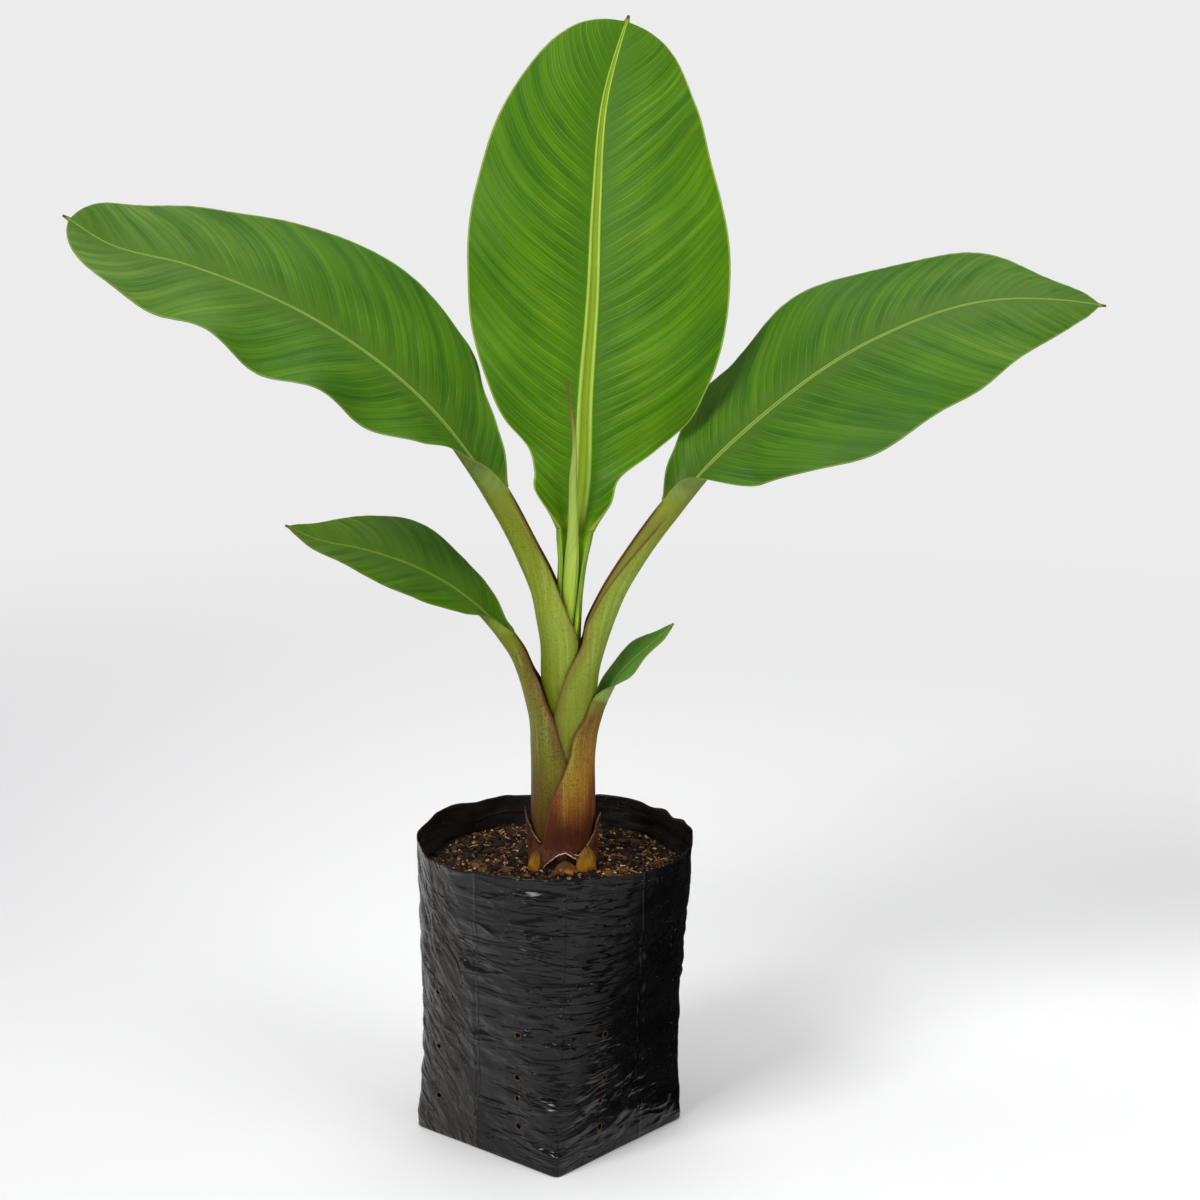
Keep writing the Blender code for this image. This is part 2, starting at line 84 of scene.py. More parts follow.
# stalk: stations up the leaf's sheath and petiole; midrib: points of the blade's spine;
# plus and minus: the blade's two sides, with widths at WIDTH_SHARES past the first
Station = namedtuple("Station", "x y z channel wrap back edge")
Side = namedtuple("Side", "widths rise_in rise_out opening ripple waves phase")
WIDTH_SHARES = (0, 0.05, 0.1, 0.15, 0.2, 0.27, 0.36, 0.48, 0.6, 0.72, 0.85, 1)
Leaf = namedtuple("Leaf", "name lateral stalk midrib plus minus tip_power tip_fall")

LEFT_LEAF = Leaf(
    "left_leaf", (0, 1, 0),
    ((2.6, 0, FORK + GAP, 8.6, 148, 4.2, 1.1), (1.0, 0, 255, 8.85, 143, 4.4, 1.1),
     (0.8, 0, 275, 8.9, 136, 4.7, 1.1), (-0.8, 0, 288, 9.1, 111, 5.2, 1.1),
     (-2.6, 0, 300, 7.0, 109, 5.5, 1.2), (-10, 0, 321, 4.3, 128, 6.0, 1.3),
     (-26, -2, 353.7, 3.8, 130, 6.2, 1.3)),
    ((-39, -7, 375), (-62, -11, 404.5), (-116, -15, 447.5), (-180, -18, 476.5), (-222, -19, 488.5),
     (-243, -20, 502.5)),
    Side((19, 26, 36, 50, 58, 64, 64, 59, 49, 47, 57), 40, 30, 0.18, 1.0, 3.0, 0),
    Side((9, 12, 19, 31, 42, 49, 56, 58, 51, 47, 41), -14, -38, 0.2, 5.0, 4.2, 2.8), 6, 0.5)
RIGHT_LEAF = Leaf(
    "right_leaf", (0, -1, 0),
    ((21.3, 0, FORK + GAP, 12.0, 116, 4.3, 1.1), (21.8, 0, 247, 12.2, 105, 4.6, 1.1),
     (22.5, 0, 258, 11.8, 92, 5.0, 1.2), (26.1, 0, 273, 7.9, 91, 5.2, 1.2),
     (29.4, 0, 283.5, 5.8, 118, 5.3, 1.2), (36, 0, 300.5, 4.3, 128, 5.3, 1.2),
     (49, 1, 323, 3.6, 128, 5.3, 1.2), (65.5, 3, 346, 3.3, 130, 5.6, 1.2)),
    ((80, 4, 363.5), (109, 6, 391.5), (168, 10, 433), (229, 12, 454), (270, 13, 454),
     (291, 14, 451)),
    Side((12, 22, 31, 39, 51, 63, 69, 68, 68, 61, 44), -28, -52, 0.17, 2.0, 3.6, 2.0),
    Side((19, 26, 37, 50, 55, 58, 61, 63, 53, 46, 42), 34, 24, 0.18, 4.0, 3.0, -0.4), 4, 0.75)
CENTRE_LEAF = Leaf(
    "centre_leaf", (1, 0, 0),
    ((11, 4.2, FORK + GAP, 5.6, 160, 3.0, 0.9), (9.9, 4.4, 275, 5.7, 146, 3.0, 0.9),
     (12, 4.6, 302, 5.1, 120, 3.0, 0.8), (13.6, 5.2, 319, 5.5, 107, 3.6, 1.0),
     (14.8, 6, 334, 7.4, 82, 4.2, 1.2)),
    ((17.8, 11, 354), (20.2, 25, 401), (24, 42, 451), (26, 61, 498), (31.5, 87, 555),
     (38, 99, 578), (43.5, 108, 594)),
    Side((20, 21, 38, 54, 63, 70, 73, 70, 64, 61, 60), 14, -6, 0.16, 2.0, 4.0, 0),
    Side((27, 25.5, 29.5, 42, 53, 63, 67, 68, 64, 58, 57), 14, -6, 0.16, 2.0, 4.0, 1.5), 6, 0.5)
LOWER_LEFT_LEAF = Leaf(
    "lower_left_leaf", (0, 1, 0),
    ((-5.5, 0, SHOULDER + GAP, 13.4, 150, 4.2, 0.8), (-4.9, 0, 191, 13.1, 135, 4.2, 0.8),
     (-4.7, 0, 216, 13.4, 91, 4.5, 0.9), (-4.4, 0, 231.5, 14.5, 67, 5.4, 1.1),
     (-8, 0, 247, 9.5, 69, 5.0, 1.2), (-10.7, 0, 254.5, 5.2, 92, 4.4, 1.2),
     (-16.5, 0, 269, 3.0, 118, 4.2, 1.1), (-21.5, 0, 276.5, 2.8, 122, 4.0, 1.1)),
    ((-30, 0, 287), (-46, 1, 301), (-69, 3, 314), (-96, 5, 323), (-123, 6, 329), (-138, 7, 336)),
    Side((7, 10.5, 15, 20, 24, 29, 36, 40, 39, 34, 26), 32, 22, 0.2, 0.8, 2.5, 0),
    Side((5, 6, 9, 13, 19, 27, 30, 28, 27, 21, 13), -10, -30, 0.2, 1.0, 3.0, 0), 3, 0.75)
LOWER_RIGHT_LEAF = Leaf(
    "lower_right_leaf", (0, -1, 0),
    ((23.1, 0, SHOULDER + GAP, 16.6, 126, 2.5, 0.9), (22.9, 0, 191, 16.3, 104, 2.5, 0.9),
     (23.1, 0, 214, 16.0, 74, 2.5, 0.9), (24.4, 0, 226, 15.5, 69, 2.7, 1.0),
     (26.1, 0, 233, 15.0, 58, 2.8, 1.0), (28.9, 0.5, 241, 11, 64, 2.8, 1.0)),
    ((34, 2.5, 250), (42.3, 8, 259), (54.6, 12, 269), (67.4, 16, 280.2)),
    Side((12, 12, 12, 12, 12, 12, 11, 9, 9, 10, 8), -5, -25, 0.3, 0.5, 2.0, 0),
    Side((8, 9, 9.5, 10, 10.5, 11.5, 13, 14.5, 14.5, 12, 8.5), 30, 20, 0.3, 0.5, 2.0, 0), 3, 0.75)

BLADE_TIP = 0.7
BLADE_END = 0.985
CUSP_WIDTH = 0.09
CUSP_RUN = 0.04
CUSP_HOLLOW = 1.5
RIB_TAPER = 1.3
RIPPLE_END = 0.2
FOOT_RUN = 25.0
TANGENT_STEP = 1.0
FLAT_TURN = 1e-6

# the rolled leaf: x, y, height, radius
SPEAR = (
    (11, -1.3, FORK + GAP, 5.0), (10, -1.2, 275, 5.1), (12.1, -0.5, 302, 4.6), (13.2, 0, 319, 4.2),
    (13.7, 0, 330, 3.3), (14, 0, 341, 2.9), (13.9, 1, 362, 2.2), (14.6, 3.4, 382, 1.2),
    (12, 5.5, 403, 0.8), (10.7, 6.5, 413, 0.6))


# ---- small sums ----

def smooth(knots, values, at):
    """A cubic curve through the values at the knots, with slopes from their neighbours."""
    knots = np.asarray(knots, float)
    values = np.asarray(values, float)
    slopes = np.gradient(values, knots, axis=0)
    left = np.clip(np.searchsorted(knots, at, side="right") - 1, 0, len(knots) - 2)
    step = knots[left + 1] - knots[left]
    part = (at - knots[left]) / step
    if values.ndim > 1:
        step, part = step[:, None], part[:, None]
    rest = 1 - part
    return ((1 + 2 * part) * rest ** 2 * values[left] + part * rest ** 2 * step * slopes[left]
            + (3 - 2 * part) * part ** 2 * values[left + 1]
            - rest * part ** 2 * step * slopes[left + 1])


def ease(share):
    share = np.clip(share, 0, 1)
    return share * share * (3 - 2 * share)


def unit(vectors):
    return vectors / np.linalg.norm(vectors, axis=-1, keepdims=True)


def pack(*parts):
    """Numbers, rows or grids that fit one another, as the last axis of one array."""
    return np.stack(np.broadcast_arrays(*parts), axis=-1)


def circle(count):
    return np.arange(count) * TURN / count


def polar(radius, angle, height, x=0.0, y=0.0):
    """Points round the vertical at x and y."""
    return pack(x + radius * np.cos(angle), y + radius * np.sin(angle), height)


def between(degrees, middle=0):
    """How far directions lie from a middle one, from -180 to 180."""
    return (degrees - middle + 180) % 360 - 180


def lattice(seed, u, v, columns, rows, closed=False):
    """Smooth noise from -1 to 1 over u and v from 0 to 1, on a grid of that many cells."""
    values = np.random.default_rng(seed).uniform(-1, 1, (rows + 2, columns + 2))
    if closed:
        values[:, columns:] = values[:, :2]
    x, y = np.clip(u, 0, 1) * columns, np.clip(v, 0, 1) * rows
    i, j = np.minimum(x.astype(int), columns), np.minimum(y.astype(int), rows)
    fx, fy = ease(x - i), ease(y - j)
    low = values[j, i] * (1 - fx) + values[j, i + 1] * fx
    high = values[j + 1, i] * (1 - fx) + values[j + 1, i + 1] * fx
    return low * (1 - fy) + high * fy


def layers(u, v, *rows, closed=False):
    """A sum of such noises; a row is (strength, seed, columns, rows)."""
    return sum(strength * lattice(seed, u, v, columns, lines, closed)
               for strength, seed, columns, lines in rows)


# ---- meshes ----

def quads_of(index):
    """Quads between neighbouring rows and columns of a grid of point numbers."""
    corners = index[:-1, :-1], index[:-1, 1:], index[1:, 1:], index[1:, :-1]
    return np.stack(corners, axis=-1).reshape(-1, 4)


def grid_quads(rows, columns, closed=False):
    index = np.arange(rows * columns).reshape(rows, columns)
    return quads_of(np.column_stack((index, index[:, 0])) if closed else index)


def signed_volume(points, faces):
    corner = points[faces]
    return sum(np.einsum("ij,ij->i", corner[:, 0], np.cross(corner[:, k], corner[:, k + 1])).sum()
               for k in range(1, faces.shape[1] - 1))


def link(name, data):
    """A new object of the scene."""
    item = bpy.data.objects.new(name, data)
    bpy.context.scene.collection.objects.link(item)
    return item


def make_piece(name, node, points, faces, maps, materials, surfaces=None, rim=None):
    """A mesh of triangles or quads that stands for a node.

    maps holds one pair of numbers for each corner of each face, surfaces the number of each
    face's material.  rim numbers the points of each sharp edge line, and is 0 elsewhere.
    """
    if signed_volume(points, faces) < 0:
        faces = faces[:, ::-1]
        maps = {key: pairs[:, ::-1] for key, pairs in maps.items()}
    mesh = bpy.data.meshes.new(name)
    mesh.vertices.add(len(points))
    mesh.vertices.foreach_set("co", (points * MM).astype(np.float32).ravel())
    mesh.loops.add(faces.size)
    mesh.loops.foreach_set("vertex_index", faces.astype(np.int32).ravel())
    mesh.polygons.add(len(faces))
    mesh.polygons.foreach_set("loop_start",
                              np.arange(0, faces.size, faces.shape[1], dtype=np.int32))
    mesh.update(calc_edges=True)
    for key, pairs in maps.items():
        layer = mesh.uv_layers.new(name=key)
        layer.uv.foreach_set("vector", pairs.astype(np.float32).ravel())
    for material in materials:
        mesh.materials.append(material)
    if surfaces is not None:
        mesh.polygons.foreach_set("material_index", surfaces.astype(np.int32))
    mesh.shade_smooth()
    if rim is not None:
        ends = np.empty(2 * len(mesh.edges), np.int32)
        mesh.edges.foreach_get("vertices", ends)
        ends = rim[ends.reshape(-1, 2)]
        layer = mesh.attributes.new("sharp_edge", "BOOLEAN", "EDGE")
        layer.data.foreach_set("value", (ends[:, 0] > 0) & (ends[:, 0] == ends[:, 1]))
    mesh.validate()
    piece = link(name, mesh)
    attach(piece, "root")
    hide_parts(node)


RIM_STRIP = 0.004             # width of a sheet's rims on its bake map


def sheet_piece(name, node, face, behind, place, maps, materials):
    """A closed sheet between two grids of points; materials are for the face, then the back.

    place holds each point's share along the sheet and across it, both from 0 to 1.
    """
    rows, columns = face.shape[:2]
    count = rows * columns
    top = grid_quads(rows, columns)
    index = np.arange(count).reshape(rows, columns)
    along, across = place[..., 0].ravel(), place[..., 1].ravel()
    bake = pack(0.01 + 0.47 * across, 0.01 + 0.98 * along)
    baked = [bake[top], bake[top[:, ::-1]] + (0.5, 0)]
    quads = [top, top[:, ::-1] + count]
    for line, push in ((index[:, 0], (-1, 0)), (index[::-1, -1], (1, 0)),
                       (index[0, ::-1], (0, -1)), (index[-1], (0, 1))):
        strip = np.stack((line[:-1], line[1:], line[1:] + count, line[:-1] + count), axis=-1)
        pairs = bake[strip % count]
        pairs[:, 2:] += np.array(push) * RIM_STRIP
        quads.append(strip)
        baked.append(pairs)
    quads = np.concatenate(quads)
    corner = {key: grid.reshape(-1, 2)[quads % count] for key, grid in maps.items()}
    corner["OFBake"] = np.concatenate(baked)
    surfaces = np.zeros(len(quads), int)
    surfaces[len(top):2 * len(top)] = 1
    rim = np.zeros((2, rows, columns), int)
    rim[:, (0, -1)] = 1
    rim[:, :, (0, -1)] = 1
    rim[1] *= 2
    points = np.concatenate((face.reshape(-1, 3), behind.reshape(-1, 3)))
    make_piece(name, node, points, quads, corner, materials, surfaces, rim.ravel())


def fan(ring):
    """Quads that close a ring of point numbers."""
    return np.array([[ring[0], *ring[k:k + 3]] for k in range(1, len(ring) - 2, 2)])


def column_piece(name, node, rings, maps, material):
    """A closed solid through rings of points, each end drawn in to its middle."""
    ends = [ring.mean(axis=0) + (ring - ring.mean(axis=0)) * 0.02 for ring in rings[[0, -1]]]
    rings = np.concatenate((ends[:1], rings, ends[1:]))
    rows, columns = rings.shape[:2]
    cap = fan(np.arange(columns))
    quads = np.concatenate((grid_quads(rows, columns, closed=True), cap[:, ::-1],
                            cap + (rows - 1) * columns))
    cells = grid_quads(rows, columns + 1)
    corner = {}
    for key, grid in maps.items():
        corner[key] = np.concatenate((grid[:1], grid, grid[-1:])).reshape(-1, 2)[cells]
    bake = pack(np.arange(columns + 1) / columns, np.linspace(0, 1, rows)[:, None])
    corner["OFBake"] = (0.01 + 0.98 * bake).reshape(-1, 2)[cells]
    for key, pairs in corner.items():
        corner[key] = np.concatenate((pairs, np.tile(pairs[:1, :1], (len(cap), 4, 1)),
                                      np.tile(pairs[-1:, :1], (len(cap), 4, 1))))
    make_piece(name, node, rings.reshape(-1, 3), quads, corner, [material])


# ---- materials ----

def linear(colour):
    shares = np.array(colour) / 255
    return (*np.where(shares <= 0.04045, shares / 12.92, ((shares + 0.055) / 1.055) ** 2.4), 1.0)


class Value:
    """What a node gives out.  Sums with it add nodes to its graph."""

    def __init__(self, graph, socket):
        self.graph = graph
        self.socket = socket

    def __add__(self, other):
        return self.graph.maths("ADD", self, other)

    def __sub__(self, other):
        return self.graph.maths("SUBTRACT", self, other)

    def __rsub__(self, other):
        return self.graph.maths("SUBTRACT", other, self)

    def __mul__(self, other):
        return self.graph.maths("MULTIPLY", self, other)

    def __abs__(self):
        return self.graph.maths("ABSOLUTE", self)

    def spread(self, low, high, to_low=0.0, to_high=1.0, kind="SMOOTHSTEP"):
        """Eases from to_low to to_high while this goes from low to high."""
        return self.graph.add("ShaderNodeMapRange", {
            "Value": self, "From Min": low, "From Max": high, "To Min": to_low,
            "To Max": to_high}, interpolation_type=kind)

    def even(self, low, high, to_low, to_high):
        return self.spread(low, high, to_low, to_high, "LINEAR")

    def fade(self, low, high, strength=1.0):
        return self.spread(low, high, strength, 0.0)

    def under(self, *glazes):
        """This colour beneath glazes, each a colour and its share, from the first to the last."""
        colour = self
        for glaze, share in glazes:
            colour = self.graph.mix(share, colour, glaze)
        return colour


class Graph:
    """A material and short calls that add to its nodes."""

    def __init__(self, name, **constants):
        self.material = bpy.data.materials.new(name)
        self.material.use_nodes = True
        self.tree = self.material.node_tree
        self.shader = self.tree.nodes["Principled BSDF"]
        for key, value in constants.items():
            self.put(self.shader.inputs[key.replace("_", " ")], value)

    def put(self, socket, value):
        if isinstance(value, Value):
            self.tree.links.new(value.socket, socket)
        else:
            socket.default_value = linear(value) if isinstance(value, tuple) else value

    def add(self, kind, inputs, output=0, **settings):
        node = self.tree.nodes.new(kind)
        for key, value in settings.items():
            setattr(node, key, value)
        for key, value in inputs.items():
            self.put(node.inputs[key], value)
        return Value(self, node.outputs[output])

    def split(self, vector):
        first = self.add("ShaderNodeSeparateXYZ", {0: vector})
        return first, Value(self, first.socket.node.outputs[1])

    def uv(self, name):
        """The two numbers of a map."""
        return self.split(self.add("ShaderNodeUVMap", {}, uv_map=name))

    def place(self):
        return self.add("ShaderNodeTexCoord", {}, output=3)

    def maths(self, operation, a, b=0.0):
        return self.add("ShaderNodeMath", {0: a, 1: b}, operation=operation)

    def far(self, x, y):
        return self.maths("SQRT", x * x + y * y)

    def point(self, x, y, z):
        return self.add("ShaderNodeCombineXYZ", {0: x, 1: y, 2: z})

    def noise(self, vector, detail, scale=1.0, roughness=0.5, distortion=0.0):
        return self.add("ShaderNodeTexNoise", {
            "Vector": vector, "Scale": scale, "Detail": detail, "Roughness": roughness,
            "Distortion": distortion})

    def streaks(self, across, along, width, length, seed, detail=2.0):
        """Noise drawn out along one way; the maps count in steps of 100 mm."""
        return self.noise(self.point(across * (100 / width), along * (100 / length), seed), detail)

    def mix(self, share, a, b):
        return self.add("ShaderNodeMix", {0: share, 6: a, 7: b}, output=2, data_type="RGBA")

    def ramp(self, value, stops):
        """A colour that changes along stops of (place, colour)."""
        ramp = self.add("ShaderNodeValToRGB", {0: value})
        marks = ramp.socket.node.color_ramp.elements
        while len(marks) < len(stops):
            marks.new(0.5)
        for mark, (place, colour) in zip(marks, stops):
            mark.position = place
        for mark, (place, colour) in zip(marks, stops):
            mark.color = linear(colour)
        return ramp

    def finish(self, colour, roughness=None, height=None, distance=0.0, strength=1.0):
        """The material, with a bump of that height; distance is its scale."""
        self.put(self.shader.inputs["Base Color"], colour)
        if roughness is not None:
            self.put(self.shader.inputs["Roughness"], roughness)
        if height is not None:
            self.put(self.shader.inputs["Normal"], self.add("ShaderNodeBump", {
                "Height": height, "Distance": distance * MM, "Strength": strength}))
        return self.material


BladeLook = namedtuple("BladeLook", "light dark by_rib rib groove stalk margin under tip seed")
VEIN_RUN = 5.2                # between the stronger side veins
DRY_TIP = (92, 60, 40)


def blade_top(name, look):
    """The upper side: bands along the veins, a pale midrib and a thin brown margin."""
    g = Graph(name, Specular_IOR_Level=0.12)
    vein, out = g.uv("veins")
    share, pleat = g.uv("pleats")
    margin, rib = g.uv("rims")
    bands = g.streaks(vein, out, 7.5, 130, look.seed, 1.0)
    fine = g.streaks(vein, out, 1.8, 80, look.seed + 3)
    hair = g.streaks(vein, out, 0.6, 70, look.seed + 7, 1.0)
    patches = g.noise(g.point(vein * 2.5, out * 4, look.seed + 11), 1.0)
    level = bands.spread(0.3, 0.7) * 0.5 + fine * 0.3 + patches.spread(0.3, 0.7, -0.2, 0.16)
    # lighter on the pleats' crests and darker in their hollows: painted light and shade
    level = level + pleat.spread(0.1, 0.9, -0.06, 0.18)
    wander = g.noise(g.point(vein * 3, out * 2.5, look.seed + 13), 1.0)
    count = vein * (100 / VEIN_RUN) + wander * 1.3
    line = g.maths("PINGPONG", count, 0.5).spread(0.06, 0.0)
    line = line * (out + hair * 0.3).spread(0.25, 0.62, 0.6, 0.22)
    grain = g.streaks(out, share, 0.4, 8, look.seed + 5)
    middle = g.ramp(rib, ((0.0, look.groove), (0.38, look.groove), (0.66, look.rib),
                          (0.86, look.rib), (1.0, look.light)))
    colour = g.mix(level, look.dark, look.light).under(
        (g.mix(level, look.dark, look.tip), share.spread(0.5, 0.95, 0.0, 0.8)),
        # each band between strong veins darkens towards one side: painted shade of the pleats
        (look.dark, g.maths("FRACT", count).fade(0.0, 0.6, 0.42)),
        (g.mix(0.5, look.rib, look.light), line),
        (look.rib, hair.spread(0.6, 0.7, 0.0, 0.13)),
        (look.dark, hair.spread(0.38, 0.28, 0.0, 0.32)),
        (look.by_rib, out.fade(0.02, 0.2, 0.7)),
        (middle.under((look.light, grain.spread(0.35, 0.7, 0.0, 0.25))), rib.fade(0.96, 1.12)),
        (look.stalk, share.fade(0.0, 0.035)),
        (look.rib, margin.fade(0.05, 0.11, 0.6)),
        (look.margin, margin.fade(0.0, 0.045, 0.8) * share.spread(0.04, 0.2, 0.15)),
        (DRY_TIP, share.spread(0.985, 0.997)))
    return g.finish(colour, fine.even(0.3, 0.7, 0.42, 0.54), fine * 0.5 + hair * 0.35, 0.14)


def blade_under(name, look):
    """The pale underside; the petiole's colour runs on along the keel."""
    g = Graph(name, Specular_IOR_Level=0.1)
    vein, out = g.uv("veins")
    share, pleat = g.uv("pleats")
    margin, rib = g.uv("rims")
    fine = g.streaks(vein, out, 1.4, 60, look.seed + 3)
    bands = g.streaks(vein, out, 6.0, 90, look.seed, 1.0)
    level = bands * 0.5 + fine * 0.5
    keel = g.mix(share.spread(0.04, 0.4), look.stalk, g.mix(0.4, look.under, look.rib))
    colour = g.mix(level.spread(0.3, 0.7), g.mix(0.35, look.under, look.dark), look.under)
    colour = colour.under(
        # darker in the underside's pleat hollows: painted shade
        (look.dark, pleat.spread(0.7, 0.95, 0.0, 0.25)), (keel, rib.fade(1.3, 2.6)),
        (look.stalk, share.fade(0.0, 0.045)), (look.rib, margin.fade(0.0, 0.1, 0.5)),
        (look.margin, margin.fade(0.0, 0.045, 0.7)))
    return g.finish(colour, fine.even(0.3, 0.7, 0.5, 0.62), fine * 0.5 + bands * 0.5, 0.15)


# spots are stains of (place across and along the sheath, half their width and length, colour,
# strength); fold is the side with a second margin line, 1 or -1, or 0 where neither has one
StalkLook = namedtuple("StalkLook", "back side band edge margin speckle seed spots fold")


def stalk_back(name, look, joint):
    """The outer face of a sheath and petiole."""
    g = Graph(name, Specular_IOR_Level=0.16)
    across, along = g.uv("veins")
    share, _ = g.uv("place")
    margin, _ = g.uv("rims")
    broad = g.streaks(across, along, 4.0, 80, look.seed)
    fine = g.streaks(across, along, 1.1, 45, look.seed + 2, 3.0)
    flecks = g.streaks(across, along, 0.6, 3.0, look.seed + 4)
    tiny = g.streaks(across, along, 0.4, 1.2, look.seed + 6, 1.0)
    mottle = g.streaks(across, along, 3.0, 9.0, look.seed + 8, 3.0)
    where = share + broad.even(0.2, 0.8, -0.07, 0.07) + mottle.even(0.2, 0.8, -0.03, 0.03)
    outer = margin + broad.even(0.2, 0.8, -0.15, 0.15)
    colour = g.mix(outer.fade(0.1, look.band), g.ramp(where, look.back), g.ramp(where, look.side))
    for place_x, place_y, wide, tall, stain, strength in look.spots:
        far = g.far((across - place_x / 100) * (100 / wide), (along - place_y / 100) * (100 / tall))
        far = far + fine.even(0.2, 0.8, -0.09, 0.09)
        colour = colour.under((stain, far.fade(0.1, 1.1, strength)))
    deep = colour.under(((58, 38, 20), 0.55))
    colour = colour.under(
        (deep, fine.spread(0.42, 0.72, 0.0, 0.28)),
        ((214, 208, 138), fine.spread(0.46, 0.3, 0.0, 0.13) * share.spread(0.15, 0.45)),
        (deep, flecks.spread(0.55, 0.7) * look.speckle),
        ((52, 34, 20), tiny.spread(0.58, 0.7) * look.speckle))
    if look.fold:
        near = (across * look.fold).spread(0.0, 0.01)
        off = margin - share.even(0.38, 0.9, 0.03, 0.36)
        line = abs(off).spread(0.05, 0.015) * near * share.spread(0.44, 0.55, 0.0, 0.85)
        colour = colour.under(((112, 112, 34), near * off.spread(0.0, -0.04) * 0.7),
                              (look.margin, line))
    colour = colour.under((look.edge, margin.fade(0.04, 0.12, 0.55)),
                          (look.margin, margin.fade(0.012, 0.05)), (joint, share.spread(0.9, 1.0)))
    return g.finish(colour, fine.even(0.3, 0.7, 0.42, 0.56), fine * 0.6 + flecks * 0.2, 0.22)


def stalk_channel(name, look, joint):
    """The inner face of a sheath, and the floor of the petiole's channel."""
    g = Graph(name, Specular_IOR_Level=0.16)
    across, along = g.uv("veins")
    share, _ = g.uv("place")
    margin, _ = g.uv("rims")
    fine = g.streaks(across, along, 1.0, 50, look.seed + 2, 3.0)
    colour = g.mix(0.15, g.ramp(share, look.side), joint)
    colour = colour.under((colour.under(((70, 80, 20), 0.4)), fine.spread(0.35, 0.7, 0.0, 0.4)),
                          (look.margin, margin.fade(0.02, 0.1)), (joint, share.spread(0.92, 1.0)))
    return g.finish(colour, 0.5, fine, 0.15)


# ---- leaves ----

def spine_of(leaf):
    points = np.array([station[:3] for station in leaf.stalk] + list(leaf.midrib), float)
    lengths = np.linalg.norm(np.diff(points, axis=0), axis=1)
    return np.concatenate(([0], np.cumsum(lengths))), points


def spine_frames(leaf, at):
    """Points of the spine, and the directions across the sheet and out of its channel."""
    reach, points = spine_of(leaf)
    above = np.maximum(at, 0)
    centre = smooth(reach, points, above)
    centre[:, 2] += np.minimum(at, 0)
    ahead, behind = above + TANGENT_STEP / 2, above - TANGENT_STEP / 2
    tangent = unit(smooth(reach, points, ahead) - smooth(reach, points, behind))
    risen = ease(above / FOOT_RUN)[:, None]
    tangent = unit(tangent * risen + np.array((0, 0, 1.0)) * (1 - risen))
    lateral = np.array(leaf.lateral, float)
    lateral = unit(lateral - tangent * (tangent @ lateral)[:, None])
    return centre, lateral, np.cross(lateral, tangent)


def half_sheet(frames, sign, across, rise_in, rise_out, width, lift=0.0):
    """Channel-side points of one side of the sheet, and the directions square to it."""
    centre, lateral, up = (part[:, None, :] for part in frames)
    start = np.radians(rise_in)[:, None]
    turn = (np.radians(rise_out - rise_in) / width)[:, None]
    turn = np.where(abs(turn) < FLAT_TURN, FLAT_TURN, turn)
    angle = (start + turn * across)[..., None]
    out = ((np.sin(angle[..., 0]) - np.sin(start)) / turn)[..., None]
    rise = ((np.cos(start) - np.cos(angle[..., 0])) / turn)[..., None]
    face = centre + sign * lateral * out + up * rise
    normal = up * np.cos(angle) - sign * lateral * np.sin(angle)
    return face + normal * (lift * (across / width[:, None]) ** 2)[..., None], normal


def swelling(across, half):
    """1 over the rib's middle, falling to 0 at its sides."""
    return (1 + np.cos(np.pi * np.clip(across / half, 0, 1))) / 2


def join(minus, plus):
    """Grids of the two sides as one, from the minus margin to the plus margin."""
    return np.concatenate((minus[:, :0:-1], plus), axis=1)


def half_width(joint, leaf, side, share):
    widths = (joint.channel * math.radians(joint.wrap),) + side.widths
    body = smooth(WIDTH_SHARES, widths, share)
    rounding = (1 - np.clip(share / BLADE_END, 0, 1) ** leaf.tip_power) ** leaf.tip_fall
    cusp = CUSP_WIDTH * body * np.clip((1 - share) / CUSP_RUN, 0, 1) ** CUSP_HOLLOW
    return np.hypot(body * rounding, BLADE_TIP + cusp)


LAMINA = 0.45
VEIN_SLOPES = ((0, 0.30, 0.62, 0.85, 1.0), (0.36, 0.48, 0.62, 0.9, 1.3))
VEIN_BEND = 0.28
PLEATS = ((5.6, 0.10, 0.3), (8.7, 0.12, 1.9), (13.5, 0.14, 4.0))   # length, height, phase
PLEAT_FADE = 9.0
TIP_SHORT = 0.3               # a blade's mesh ends this much before the solid
OTHER_SIDE = 500              # added to the veins of one side, so that the two differ

RIB_END = 0.4                 # half width of the midrib at the tip
RIDGE = (0.16, 0.7, 0.28)     # beside the midrib: its height, middle and half width, in ribs
GROOVE = (0.26, 0.55)         # along the midrib: its depth and half width, in ribs
KEEL = 1.7                    # half width of the midrib's swelling below, in ribs

# rows of its mesh, and columns near the midrib and beyond it; how much the midrib's half width
# grows from the tip to the foot, and how it falls; how strong the pleats are
BladeShape = namedtuple("BladeShape", "rows inner outer rib rib_fall pleats")


